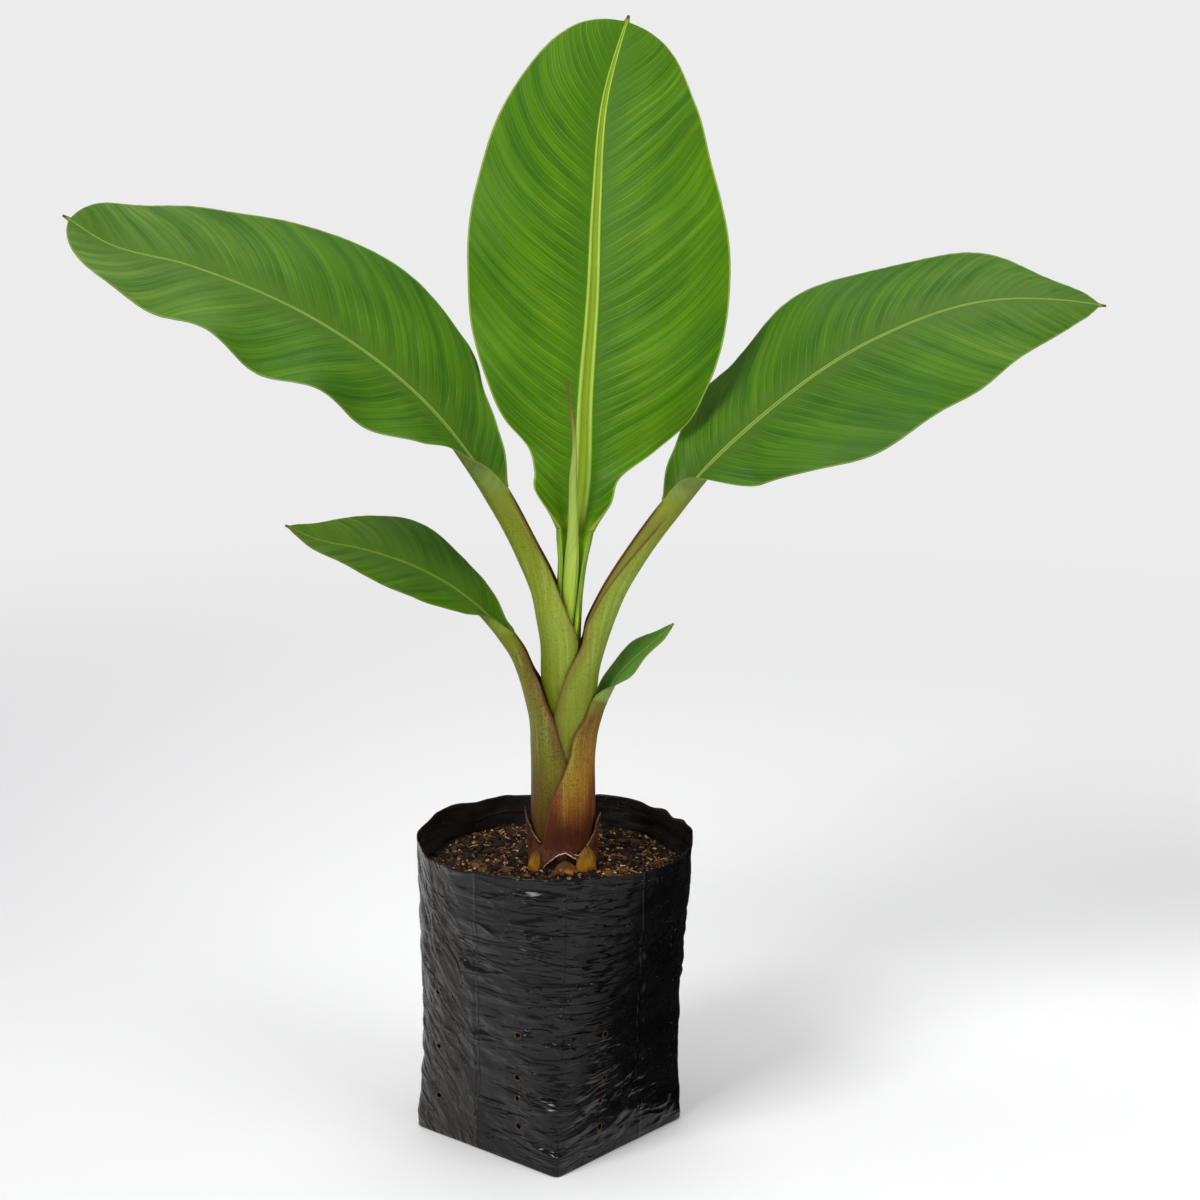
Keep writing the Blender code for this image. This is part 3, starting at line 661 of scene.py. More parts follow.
def blade_side(leaf, side, sign, share, frames, length, shape):
    """Grids of one side: its two faces, its place, and its maps."""
    joint = Station(*leaf.stalk[-1])
    width = half_width(joint, leaf, side, share)
    opened = ease(share / side.opening)
    rise_in = side.rise_in * opened
    rise_out = joint.wrap + (side.rise_out - joint.wrap) * opened
    rib = RIB_END + shape.rib * (1 - share) ** shape.rib_fall
    inner = np.minimum(2.2 * rib, width / 2)
    beyond = np.linspace(0, 1, shape.outer + 1)[1:]
    across = np.column_stack((np.outer(inner, np.linspace(0, 1, shape.inner)),
                              inner[:, None] + np.outer(width - inner, beyond)))
    lift = side.ripple * opened * ease((1 - share) / RIPPLE_END)
    lift = lift * np.sin(TURN * side.waves * share + side.phase)
    face, normal = half_sheet(frames, sign, across, rise_in, rise_out, width, lift[:, None])

    w, s, rib, opened = (part[:, None] for part in (width, share, rib, opened))
    q = across / w
    slope = np.interp(s, *VEIN_SLOPES)
    vein = s * length - slope * across - VEIN_BEND * w * q ** 3 + (OTHER_SIDE if sign > 0 else 0)
    fade = ease((across - rib) / PLEAT_FADE) * (0.35 + 0.65 * ease((w - across) / 8))
    fade = fade * ease(s / 0.14) * ease((1 - s) / 0.05)
    wander = lattice(3, q, s, 5, 9)
    pleat = sum(height * np.sin(TURN * vein / run + phase + 1.8 * wander)
                for run, height, phase in PLEATS) * fade * shape.pleats
    swell_out = ease(s / 0.2)
    high, middle, half = RIDGE
    ridge = high * rib * np.exp(-((across / rib - middle) / half) ** 2) * swell_out
    deep, half = GROOVE
    groove = deep * rib * np.clip(1 - (across / (half * rib)) ** 2, 0, 1) * ease(s / 0.08)
    edge = joint.edge + (LAMINA - joint.edge) * opened
    back = LAMINA + (joint.back - LAMINA) * (1 - s) ** RIB_TAPER
    keel = np.pi * joint.channel * (1 - swell_out) + KEEL * rib * swell_out
    depth = edge + (back - edge) * swelling(across, keel)
    depth = depth * (1 - 0.4 * ease((q - 0.97) / 0.03))
    top = face + normal * (pleat + ridge - groove)[..., None]
    under = face - normal * (depth - pleat)[..., None]
    tallest = shape.pleats * sum(height for _, height, _ in PLEATS)
    return (top, under, pack(s, 0.5 + 0.5 * sign * q), pack(vein, across) / 100,
            pack(s, 0.5 + 0.5 * pleat / tallest),
            pack((w - across) / 10, np.minimum(across / rib, 30)))


def build_blade(leaf, shape, look):
    reach, _ = spine_of(leaf)
    joint = reach[len(leaf.stalk) - 1]
    length = reach[-1] - joint - TIP_SHORT
    even = np.linspace(0, 1, shape.rows)
    share = 0.7 * even + 0.3 * (1 - np.cos(np.pi * even)) / 2
    frames = spine_frames(leaf, joint + share * length)
    sides = [blade_side(leaf, side, sign, share, frames, length, shape)
             for side, sign in ((leaf.minus, -1), (leaf.plus, 1))]
    top, under, place, *maps = map(join, *sides)
    materials = blade_top(leaf.name + "_upper_side", look), blade_under(leaf.name + "_underside", look)
    name = leaf.name + "_blade"
    sheet_piece(name + "_veined", name, top, under, place,
                dict(zip(("veins", "pleats", "rims"), maps)), materials)


STALK_ROWS = 130
STALK_HALF = 30

StalkShape = namedtuple("StalkShape", "below thin")   # run below the solid, and back there


def build_stalk(leaf, shape, look, joint_tone):
    reach, _ = spine_of(leaf)
    joint = reach[len(leaf.stalk) - 1]
    at = np.linspace(-shape.below, joint, STALK_ROWS)
    numbers = smooth(reach[:len(leaf.stalk)], [station[3:] for station in leaf.stalk],
                     np.maximum(at, 0))
    channel, wrap, back, edge = numbers.T
    width = channel * np.radians(wrap)
    a = np.outer(width, np.linspace(0, 1, STALK_HALF + 1) ** 0.9)
    frames = spine_frames(leaf, at)
    back = back + (shape.thin - back) * ease(-at / max(shape.below, 1))
    w, run = width[:, None], at[:, None]
    share = (run - at[0]) / (joint - at[0])
    depth = edge[:, None] + (back - edge)[:, None] * swelling(a, np.pi * channel[:, None])
    depth = depth * (1 - 0.5 * ease(1 - (w - a) / 1.6))
    fade = ease((w - a) / 2.5) * ease((joint - run) / 14)
    sides = []
    for sign in (-1, 1):
        face, normal = half_sheet(frames, sign, a, 0 * wrap, wrap, width)
        u, v = 0.5 + sign * a / 120, (run + 40) / 260
        ribs = (0.07 * np.sin(TURN * a / 1.9 + 2.2 * lattice(5, u, v, 9, 5) + sign)
                + 0.08 * np.sin(TURN * a / 3.7 + 2.6 * lattice(6, u, v, 7, 4))
                + layers(u, v, (0.10, 7, 34, 6), (0.05, 8, 90, 40)))
        behind = face - normal * (depth + ribs * fade)[..., None]
        face = face + normal * (0.04 * lattice(9, u, v, 60, 10) * fade)[..., None]
        sides.append((face, behind, pack(sign * a, run) / 100,
                      pack(share, 0.5 + 0.5 * sign * a / w), pack((w - a) / 10, a / w)))
    face, behind, veins, place, rims = map(join, *sides)
    materials = (stalk_channel(leaf.name + "_channel", look, joint_tone),
                 stalk_back(leaf.name + "_back", look, joint_tone))
    name = leaf.name + "_stalk"
    sheet_piece(name + "_ribbed", name, face, behind, place,
                {"veins": veins, "place": place, "rims": rims}, materials)


DARK_MARGIN = (104, 66, 40)
# near black at the lower sheaths' feet, in the hollow inside the torn sheath: painted shade
FOOT_SHADE_TONE = (26, 15, 9)

CENTRE_LOOK = BladeLook(
    (90, 136, 4), (52, 98, 5), (64, 108, 14), (168, 194, 82), (136, 160, 40), (112, 144, 30),
    (117, 84, 20), (124, 146, 50), (88, 132, 12), 10.0)
LEFT_LOOK = BladeLook(
    (82, 126, 18), (48, 92, 12), (72, 108, 28), (138, 166, 84), (120, 146, 54), (117, 131, 39),
    (117, 84, 30), (128, 146, 70), (112, 142, 62), 30.0)
RIGHT_LOOK = BladeLook(
    (80, 124, 17), (48, 92, 16), (72, 106, 32), (140, 166, 80), (124, 148, 54), (124, 133, 43),
    (120, 84, 32), (131, 148, 74), (104, 140, 54), 50.0)
LOWER_LEFT_LOOK = BladeLook(
    (78, 120, 0), (38, 80, 0), (64, 98, 18), (112, 138, 42), (98, 120, 28), (109, 118, 28),
    (96, 70, 18), (122, 140, 50), (122, 152, 20), 70.0)
LOWER_RIGHT_LOOK = BladeLook(
    (98, 148, 46), (64, 116, 34), (90, 132, 46), (128, 158, 71), (112, 142, 56), (112, 112, 42),
    (99, 74, 34), (140, 160, 86), (104, 146, 50), 90.0)

LOWER_RIGHT_STALK = StalkLook(
    ((0.0, FOOT_SHADE_TONE), (0.085, FOOT_SHADE_TONE), (0.115, (90, 50, 30)), (0.2, (74, 39, 22)),
     (0.26, (78, 40, 18)), (0.34, (116, 62, 20)), (0.43, (144, 92, 26)), (0.55, (158, 114, 30)),
     (0.68, (158, 116, 36)), (0.8, (148, 108, 40)), (1.0, (118, 98, 30))),
    ((0.0, FOOT_SHADE_TONE), (0.085, FOOT_SHADE_TONE), (0.115, (92, 52, 31)), (0.2, (88, 48, 30)),
     (0.32, (102, 50, 29)), (0.45, (132, 68, 38)), (0.58, (142, 90, 46)), (0.8, (126, 86, 34)),
     (1.0, (108, 88, 28))),
    0.75, (108, 62, 32), DARK_MARGIN, 0.9, 110.0,
    ((21.8, 62, 7, 36, (160, 148, 44), 0.85), (7, 30, 5, 22, (112, 52, 36), 0.6),
     (3, 34, 5, 15, (92, 40, 40), 0.6), (2, 50, 3, 30, (160, 112, 74), 0.5)), 0)
LOWER_LEFT_STALK = StalkLook(
    ((0.0, FOOT_SHADE_TONE), (0.055, FOOT_SHADE_TONE), (0.08, (72, 42, 20)), (0.18, (92, 66, 20)),
     (0.3, (102, 84, 20)), (0.4, (106, 96, 24)), (0.48, (114, 112, 30)), (0.62, (120, 122, 40)),
     (0.85, (120, 124, 38)), (1.0, (118, 124, 42))),
    ((0.0, (62, 36, 20)), (0.2, (84, 52, 24)), (0.32, (98, 70, 26)), (0.5, (108, 92, 32)),
     (0.8, (108, 92, 36)), (1.0, (110, 104, 36))),
    0.7, (104, 76, 36), DARK_MARGIN, 0.9, 130.0,
    ((-5, 26, 5, 26, (112, 72, 52), 0.55), (-13, 100, 6, 60, (130, 134, 60), 0.4)), 0)
RIGHT_STALK = StalkLook(
    ((0.0, (112, 120, 30)), (0.2, (124, 136, 40)), (0.4, (134, 152, 52)), (0.7, (136, 156, 54)),
     (1.0, (130, 144, 46))),
    ((0.0, (106, 98, 34)), (0.35, (118, 116, 42)), (0.7, (126, 136, 46)), (1.0, (126, 138, 46))),
    0.6, (112, 92, 40), DARK_MARGIN, 0.4, 150.0, ((26, 60, 9, 60, (150, 166, 70), 0.6),), 1)
LEFT_STALK = StalkLook(
    ((0.0, (92, 100, 10)), (0.2, (108, 122, 18)), (0.5, (124, 142, 32)), (1.0, (124, 138, 36))),
    ((0.0, (92, 96, 14)), (0.3, (106, 108, 22)), (0.7, (114, 120, 30)), (1.0, (116, 124, 32))),
    0.6, (108, 88, 34), DARK_MARGIN, 0.4, 170.0, ((-14, 60, 9, 70, (150, 168, 66), 0.7),), 0)
# the centre leaf's channel tones are painted light: far paler and brighter than its tissue, standing
# in for light shining through into the shaded channel
CENTRE_STALK = StalkLook(
    ((0.0, (104, 132, 24)), (0.5, (118, 150, 38)), (1.0, (116, 150, 44))),
    ((0.0, (172, 214, 20)), (0.5, (180, 224, 34)), (1.0, (166, 212, 40))),
    0.12, (112, 142, 44), (126, 152, 64), 0.15, 190.0, (), 0)

BIG = (250, 15, 36)
PLANT = (
    (LOWER_RIGHT_LEAF, StalkShape(8.8, 2.5), LOWER_RIGHT_STALK,
     BladeShape(100, 9, 18, 0.5, 0.6, 0.5), LOWER_RIGHT_LOOK),
    (LOWER_LEFT_LEAF, StalkShape(8.8, 4.0), LOWER_LEFT_STALK,
     BladeShape(160, 10, 27, 0.8, 0.6, 0.7), LOWER_LEFT_LOOK),
    (RIGHT_LEAF, StalkShape(32.0, 1.5), RIGHT_STALK, BladeShape(*BIG, 1.3, 1.0, 1.0), RIGHT_LOOK),
    (LEFT_LEAF, StalkShape(18.0, 1.5), LEFT_STALK, BladeShape(*BIG, 1.2, 1.0, 1.0), LEFT_LOOK),
    (CENTRE_LEAF, StalkShape(0.0, 3.0), CENTRE_STALK, BladeShape(*BIG, 4.7, 0.72, 1.0),
     CENTRE_LOOK))


# ---- spear, stem, collar and buds ----

SPEAR_ROWS = 220
SPEAR_COLUMNS = 64
SPEAR_LAP = (-62, 22)         # degrees of its lap's foot, and how far the lap winds on
SPEAR_STEP = 0.14             # share of the radius that the lap steps down


def stations(table, column, count):
    """Columns of numbers between rows of a table, evenly along one of its columns."""
    table = np.array(table)
    knots = table[:, column]
    return smooth(knots, table, np.linspace(knots[0], knots[-1], count)).T[..., None]


def build_spear():
    x, y, height, radius = stations(SPEAR, 2, SPEAR_ROWS)
    turn = np.linspace(0, TURN, SPEAR_COLUMNS)
    share = np.linspace(0, 1, SPEAR_ROWS)[:, None]
    size = radius * (1 - SPEAR_STEP + SPEAR_STEP * turn / TURN)
    size = size * (1 + 0.012 * np.sin(9 * turn + 3 * share))
    angle = np.radians(SPEAR_LAP[0] + SPEAR_LAP[1] * share) + turn
    rings = polar(size, angle, height, x, y)
    wide = np.append(turn, TURN + 0.02)
    maps = {"veins": pack(radius * wide, height) / 100, "place": pack(share, wide / TURN)}
    g = Graph("spear_roll", Specular_IOR_Level=0.2)
    across, along = g.uv("veins")
    up, round_ = g.uv("place")
    fine = g.streaks(across, along, 0.8, 50, 3.0)
    colour = g.ramp(up, ((0.0, (136, 164, 38)), (0.35, (164, 192, 58)), (0.5, (172, 194, 88)),
                         (0.68, (158, 178, 88)), (0.8, (152, 164, 84)), (0.86, (140, 120, 70)),
                         (0.92, (120, 74, 46)), (1.0, (96, 58, 40))))
    to_lap = g.maths("MINIMUM", round_, 1.0 - round_)
    colour = colour.under(((112, 146, 44), fine.spread(0.35, 0.7, 0.0, 0.4)),
                          # darker along the lap's edge: painted shade in the step where the lap lies
                          # on the roll
                          ((104, 120, 44), to_lap.fade(0.0, 0.03, 0.4)))
    column_piece("spear_leaf_rolled", "spear_leaf", rings, maps,
                 g.finish(colour, 0.4, fine, 0.12))


# the stem's core: height, x, radius
CORE = ((151.0, STEM_X, 15.4), (153.5, STEM_X, 16.6), (157.0, STEM_X, 15.8), (161.0, STEM_X, 12.2),
        (185.0, STEM_X, 11.8), (203.0, 9.8, 9.0), (212.0, 11.0, 8.0), (FORK, 11.2, 7.8))
CORE_ROWS = 60
CORE_COLUMNS = 96
CORE_ROUGH = 0.25


def brown_fibre(name, dark, light, seed, pale=None):
    """Dry, fibrous tissue whose fibres run along the second number of the map veins."""
    g = Graph(name, Specular_IOR_Level=0.25)
    across, along = g.uv("veins")
    fine = g.streaks(across, along, 0.8, 7, seed, 3.0)
    broad = g.streaks(across, along, 4.0, 5.0, seed + 2, 4.0)
    colour = g.mix(broad.spread(0.3, 0.7), dark, light).under(
        ((138, 92, 56), fine.spread(0.55, 0.75, 0.0, 0.35)),
        ((28, 15, 9), fine.spread(0.45, 0.3, 0.0, 0.6)))
    if pale is not None:
        margin, _ = g.uv("rims")
        torn = margin + fine.even(0.2, 0.8, -0.02, 0.02)
        colour = g.mix(torn.spread(0.025, 0.06), pale, colour)
    return g.finish(colour, 0.6, fine * 0.7 + broad * 0.9, 0.6)


def build_core():
    height, x, radius = stations(CORE, 0, CORE_ROWS)
    angle = circle(CORE_COLUMNS)
    rough = lattice(21, angle / TURN, (height - 150) / 90, 40, 5, True) - 1
    rings = polar(radius + CORE_ROUGH * rough, angle, height, x)
    maps = {"veins": pack(radius * np.append(angle, TURN), height) / 100}
    column_piece("pseudostem_core", "pseudostem", rings, maps,
                 brown_fibre("corm_tissue", (48, 28, 18), (84, 50, 30), 5.0))


# the torn foot of the old sheath: (direction, height) of its upper and its lower edge
TORN_TOP = ((-180, 184), (-166, 181), (-151, 176.5), (-138, 171), (-128, 167.5), (-120, 167),
            (-100, 167), (-84, 166), (-73, 163), (-64, 162), (-50, 165.5), (-40, 168),
            (-32, 171.5), (-22, 179.5), (-10, 181), (4, 176), (18, 166), (90, 161), (150, 167))
TORN_FOOT = ((-134, 149), (-124, 151.5), (-118, 155), (-108, 158.6), (-96, 161.4), (-86, 162.2),
             (-76, 160.6), (-69, 159.4), (-64, 155), (-60, 149))
MERGED = (-124.0, -78.0)      # between these it runs on smoothly from the sheath above it
NO_RIM = 9.0                  # stands for a distance from an edge that isn't torn
COLLAR_ROWS = 24
COLLAR_COLUMNS = 300
COLLAR_THICK = 0.7


def build_collar():
    half_slit = COLLAR_OPENING / 2
    degrees = np.linspace(COLLAR_SLIT + half_slit, COLLAR_SLIT + 360 - half_slit, COLLAR_COLUMNS)
    way = between(degrees)
    top = np.interp(degrees, *np.array(TORN_TOP, float).T, period=360)
    foot = np.interp(way, *np.array(TORN_FOOT, float).T)
    turn = (degrees - COLLAR_SLIT) / 360
    torn = layers(turn, 0.0, (0.7, 31, 60, 1), (0.4, 32, 130, 1))
    merged = ease((way - MERGED[0]) / 10 + 1) * ease((MERGED[1] - way) / 14 + 1)
    top = top + torn * (1 - merged) - 0.6
    foot = foot + 0.5 * torn * (foot > 150)
    share = np.linspace(0, 1, COLLAR_ROWS)[:, None]
    levels = foot + share * (top - foot)
    angles = np.radians(degrees)
    bulge = layers(turn, (levels - 148) / 40, (0.4, 33, 46, 2), (0.25, 34, 110, 3))
    stand = COLLAR_DEEPER * abs(np.sin(angles)) + bulge * ease(share / 0.1)
    stand = stand + 1.4 * ease((levels - 166) / 16) * (1 - merged)
    stand = stand - 1.7 * merged * ease((levels - 158) / 9)
    thick = COLLAR_THICK - 0.6 * merged * ease((levels - 160) / 7)
    face, behind = (polar(COLLAR_RADIUS + stand + out, angles, levels, STEM_X)
                    for out in (0, thick))
    to_top = np.where(merged > 0.5, NO_RIM, top - levels)
    to_foot = np.where(foot > 150.5, levels - foot, NO_RIM)
    maps = {"veins": pack(COLLAR_RADIUS * angles, levels) / 100,
            "rims": pack(np.minimum(to_top, to_foot) / 10, 0.0)}
    outer = brown_fibre("torn_sheath", (56, 30, 18), (104, 60, 35), 7.0, (226, 182, 140))
    # the inner face has the outer face's colours, darker: painted shade
    inner = brown_fibre("torn_sheath_inside", (40, 22, 14), (72, 42, 26), 9.0)
    sheet_piece("basal_sheath_torn", "basal_sheath", face, behind,
                pack(share, turn), maps, (inner, outer))


BUD_ROWS = 36
BUD_COLUMNS = 60
BUD_SIZES = ((0, 0.3, 0.6, 0.85, 1.0), (0.8, 1.0, 0.86, 0.5, 0.06))   # at shares of its height
BUD_SUNK = 3.0                # how far a bud's foot is in the mix
BUD_CLOSES = 1.8              # how far its tip leans to the stem


def build_bud(bud):
    share = np.linspace(0, 1, BUD_ROWS)
    size = smooth(*BUD_SIZES, share)[:, None]
    share = share[:, None]
    angle = circle(BUD_COLUMNS)
    way = math.radians(bud.direction)
    out = np.array((math.cos(way), math.sin(way), 0))
    along = np.array((-out[1], out[0], 0))
    clear = COLLAR_RADIUS + COLLAR_DEEPER * abs(math.sin(way))
    foot = np.array((STEM_X, 0, SOIL_TOP - BUD_SUNK)) + out * (clear + 0.55 * bud.half_depth)
    grow = size * (1 + layers(angle / TURN, share, (0.10, 71, 5, 4), (0.05, 72, 14, 10), closed=True)
                   + 0.04 * np.sin(3 * angle + 6 * share))
    rings = (foot + (np.cos(angle) * bud.half_depth * grow)[..., None] * out
             + (np.sin(angle) * bud.half_width * bud.wider * grow)[..., None] * along)
    rings -= (out * BUD_CLOSES - along * bud.lean) * share[..., None] ** 1.5
    rings[..., 2] += share * bud.tall
    wide = np.append(angle, TURN)
    maps = {"veins": pack(bud.half_width * wide, share * bud.tall) / 100,
            "place": pack(share, wide / 7)}
    g = Graph(bud.name + "_scale", Specular_IOR_Level=0.15)
    across, up = g.uv("veins")
    level, _ = g.uv("place")
    fine = g.streaks(across, up, 0.8, 9, 4.0, 3.0)
    blot = g.streaks(across, up, 3.0, 5.0, 6.0, 3.0)
    where = level + blot.even(0.2, 0.8, -0.12, 0.12)
    colour = g.ramp(where, ((0.0, (40, 22, 12)), (0.2, (120, 66, 18)), (0.42, (164, 106, 26)),
                            (0.62, (152, 106, 26)), (0.82, (128, 86, 26)), (1.0, (96, 60, 26))))
    colour = colour.under(
        # dark brown over the upper part: painted shade on the front bud, whose top lies in the hollow
        ((60, 34, 18), where.spread(bud.brown_from, bud.brown_from + 0.2, 0.0, 0.8)),
        ((72, 34, 16), fine.spread(0.5, 0.7, 0.0, 0.6)),
        ((104, 82, 22), blot.spread(0.5, 0.66, 0.0, 0.55)))
    column_piece(bud.name + "_scaled", bud.name, rings, maps,
                 g.finish(colour, 0.5, fine + blot, 0.5))


# ---- bag ----

FILM = 0.35
FILM_INSET = 0.5
BAG_COLUMNS = 340
BAG_ROWS = 120
BAG_FLOOR_RINGS = 8
FOOT_LEVELS = (0.0, 0.35, 1.2, 2.6)          # of the lowest rows; the rest are even
INNER_FLOOR = 0.5             # level of the floor inside, and the step to the next rows there
INNER_STEP = 0.3
BAG_ARC = 62.0                # radius that turns directions into a run along the film
FOOT_ROUND = 1.0
RELIEF_IN = -1.2              # how far the wrinkles reach in and out
RELIEF_OUT = 1.4
SHARPER = 34.0                # squareness of the film's base

# direction, height and radius of the drain holes; the first PALE_RIMMED have a pale rim
HOLES = ((-105.9, 76.1, 1.45), (-62.5, 74.7, 1.5), (-106.4, 51.0, 1.5), (-59.6, 47.4, 1.4),
         (-106.6, 38.5, 1.3), (-61.4, 34.4, 1.35), (-106.1, 22.0, 1.7), (-60.9, 18.8, 1.6),
         (-158.1, 86.0, 1.3), (-161.0, 53.3, 1.3), (-163.2, 23.6, 1.3), (-137.5, 20.4, 0.9),
         (-27.9, 17.4, 0.9), (-4.7, 17.3, 1.0), (18, 76, 1.4), (62, 75, 1.4), (18, 50, 1.4),
         (62, 49, 1.4), (20, 22, 1.4), (60, 21, 1.4), (108, 76, 1.4), (152, 74, 1.4),
         (108, 50, 1.4), (150, 48, 1.4), (109, 21, 1.5), (150, 20, 1.4))
PALE_RIMMED = 14
HOLE_RING = ((0, 1), (-1, 1), (-1, 0), (-1, -1), (0, -1), (1, -1), (1, 0), (1, 1))

# fold lines of the flattened bag: directions at FOLD_LEVELS; the first PALE_FOLDS catch light
FOLD_LEVELS = (0, 60, 120, 165)
FOLDS = ((-85.4, -85.4, -85.2, -85.0), (-138, -137, -130, -124), (-26, -28, -41, -50),
         (94, 94, 94, 95), (42, 42, 46, 52), (146, 146, 142, 136))
PALE_FOLDS = 3
FOLD_RISE = 0.7
FOLD_WIDTH = 1.1
FOLD_TOP = (150, 30)          # height where the folds are gone, and how far below they start to go

# strained places that catch the light: direction, height, half their run and rise, depth
DIMPLES = ((-97, 161, 15, 6.0, 1.25), (-108, 132, 5, 1.8, 0.7), (-72, 120, 5, 1.9, 1.1),
           (-74, 116.5, 4, 1.6, 1.0), (-84, 100, 4, 2.0, 1.2), (-101, 78, 5, 1.8, 0.8),
           (-89, 75.5, 5, 2.8, 1.5), (-83, 74.5, 6, 3.0, 1.8), (-88, 42, 8, 2.6, 1.4),
           (-81, 41, 5, 2.2, 1.3), (-99, 43, 5, 1.8, 0.8), (-91, 15, 6, 2.8, 1.4),
           (-85, 14, 6, 2.8, 1.5), (92, 70, 6, 2.0, 1.0), (97, 38, 5, 1.8, 0.9), (40, 60, 5, 1.8, 0.9))

# heights from which the film crumples, lies flatter, waves and is dented, and over how much
CRUMPLES = (140, 27)
FLATTENS = (125, 12)
WAVES = (120, 47)
DENTED = (150, 16)
# dents of the rim: direction, half their width in degrees, how far in, how far down
RIM_DENTS = ((43, 7, 2.6, 2.0), (27, 6, 2.2, 2.4), (14, 5, 1.2, 0.8), (84, 9, 1.4, 1.0),
             (-30, 8, 0.8, 0.5), (128, 8, 1.6, 1.2), (165, 9, 1.2, 0.9), (-150, 7, 0.7, 0.6))

CREASE_LEVELS = (8, 156)      # heights between which the creases lie
CREASE_WIDTHS = (1.2, 2.4)
# groups of creases: middle direction and half its width, count, run, rise, slant, scatter
CREASES = ((-85, 55, 90, (12, 32), (0.5, 1.4), 0, 7), (0, 180, 90, (8, 22), (0.2, 0.5), 0, 12),
           (-160, 22, 60, (14, 36), (0.6, 1.3), -58, 9), (-20, 18, 26, (10, 28), (0.4, 0.9), 55, 10))


def bag_radius(direction, height):
    """Outer radius and centre of the bag at directions in radians and heights."""
    share = np.clip(height / BAG_HEIGHT, 0, 1.05)
    half = BAG_BASE_SIDE / 2 + (BAG_RIM_RADIUS - BAG_BASE_SIDE / 2) * share ** BAG_WIDENING
    square = 1 / SHARPER + (1 / BAG_SQUARENESS - 1 / SHARPER) * ease(share / 0.5)
    bend = square + (0.5 - square) * share ** BAG_ROUNDING
    local = direction - math.radians(BAG_TURN)
    power = 1 / bend
    radius = half / (abs(np.cos(local)) ** power + abs(np.sin(local)) ** power) ** bend
    return radius, BAG_RIM_SHIFT * share


def film_relief(direction, height):
    """How far the film stands out of its smooth shape."""
    relief = layers(direction / TURN % 1, np.clip(height / BAG_HEIGHT, 0, 1), (0.7, 41, 16, 11),
                    (0.4, 42, 40, 40), (0.16, 43, 110, 110), closed=True)
    degrees = np.degrees(direction)
    arc = BAG_ARC * np.pi / 180
    for row in FOLDS:
        off = between(degrees, np.interp(height, FOLD_LEVELS, row)) * arc
        fold = np.exp(-abs(off) / FOLD_WIDTH) * ease((FOLD_TOP[0] - height) / FOLD_TOP[1])
        relief += FOLD_RISE * fold
        relief -= 0.1 * np.exp(-(off / 5) ** 2)
    rng = np.random.default_rng(77)
    for middle, wide, count, runs, rises, tilt, scatter in CREASES:
        for _ in range(count):
            x = between(degrees, rng.uniform(middle - wide, middle + wide)) * arc
            y = height - rng.uniform(*CREASE_LEVELS)
            run, width = rng.uniform(*runs), rng.uniform(*CREASE_WIDTHS)
            rise = rng.uniform(*rises) * rng.choice((-1, 1, 1))
            slant = math.radians(rng.normal(tilt, scatter))
            near = (abs(x) < run) & (abs(y) < run)
            c, s = math.cos(slant), math.sin(slant)
            along, off = x[near] * c + y[near] * s, -x[near] * s + y[near] * c
            off = off - 0.6 * np.sin(along / run * 4)
            relief[near] += rise * np.exp(-abs(off / width) ** 1.5) * np.clip(
                1 - (along / run * 1.6) ** 2, 0, 1)
    return relief


def film_point(direction, height, inset):
    """Points of the film at directions and nominal heights, drawn in by an inset."""
    near_rim, flat, waves, dented = (
        ease((height - start) / run) for start, run in (CRUMPLES, FLATTENS, WAVES, DENTED))
    radius, shift = bag_radius(direction, height)
    turn = direction / TURN % 1
    crumple = layers(turn, height / 200, (0.7, 46, 24, 3), (0.5, 47, 60, 4), closed=True)
    relief = np.tanh(film_relief(direction, height) / RELIEF_OUT) * RELIEF_OUT
    relief = relief * (1 - 0.5 * near_rim) + near_rim * crumple
    relief = np.clip(relief, RELIEF_IN + 0.6 * flat, RELIEF_OUT - 1.25 * near_rim)
    wave = RIM_WAVE * np.sin(RIM_WAVES * direction) - 0.3
    wave = wave + layers(turn, 0.0, (0.5, 44, 26, 1), (0.3, 45, 70, 1), closed=True)
    level = height + wave * waves
    for middle, wide, inward, down in RIM_DENTS:
        dent = np.exp(-(between(np.degrees(direction), middle) / wide) ** 2) * dented
        relief = relief - inward * dent
        level = level - down * dent
    foot = FOOT_ROUND * (1 - np.sqrt(np.clip(1 - (1 - height / FOOT_ROUND) ** 2, 0, 1)))
    foot = np.where(height < FOOT_ROUND, foot, 0)
    radius = radius - FILM_INSET - inset - foot + relief * ease(height / 5)
    return polar(radius, direction, level, shift)


def bag_floor(ring, start, disc_start, height):
    """Points that close the ring of points numbered from start, and their quads."""
    shares = np.linspace(1, 0.01, BAG_FLOOR_RINGS)[1:]
    centre = ring.mean(axis=0)
    rings = centre + (ring - centre) * shares[:, None, None]
    rings[..., 2] = height
    rings = rings.reshape(-1, 3)
    index = np.concatenate((start + np.arange(len(ring)), disc_start + np.arange(len(rings))))
    index = index.reshape(-1, len(ring))
    index = np.column_stack((index, index[:, 0]))
    quads = quads_of(index)[:, (1, 0, 3, 2)]
    return rings, np.concatenate((quads, fan(index[-1, :-1])[:, (0, 3, 2, 1)]))


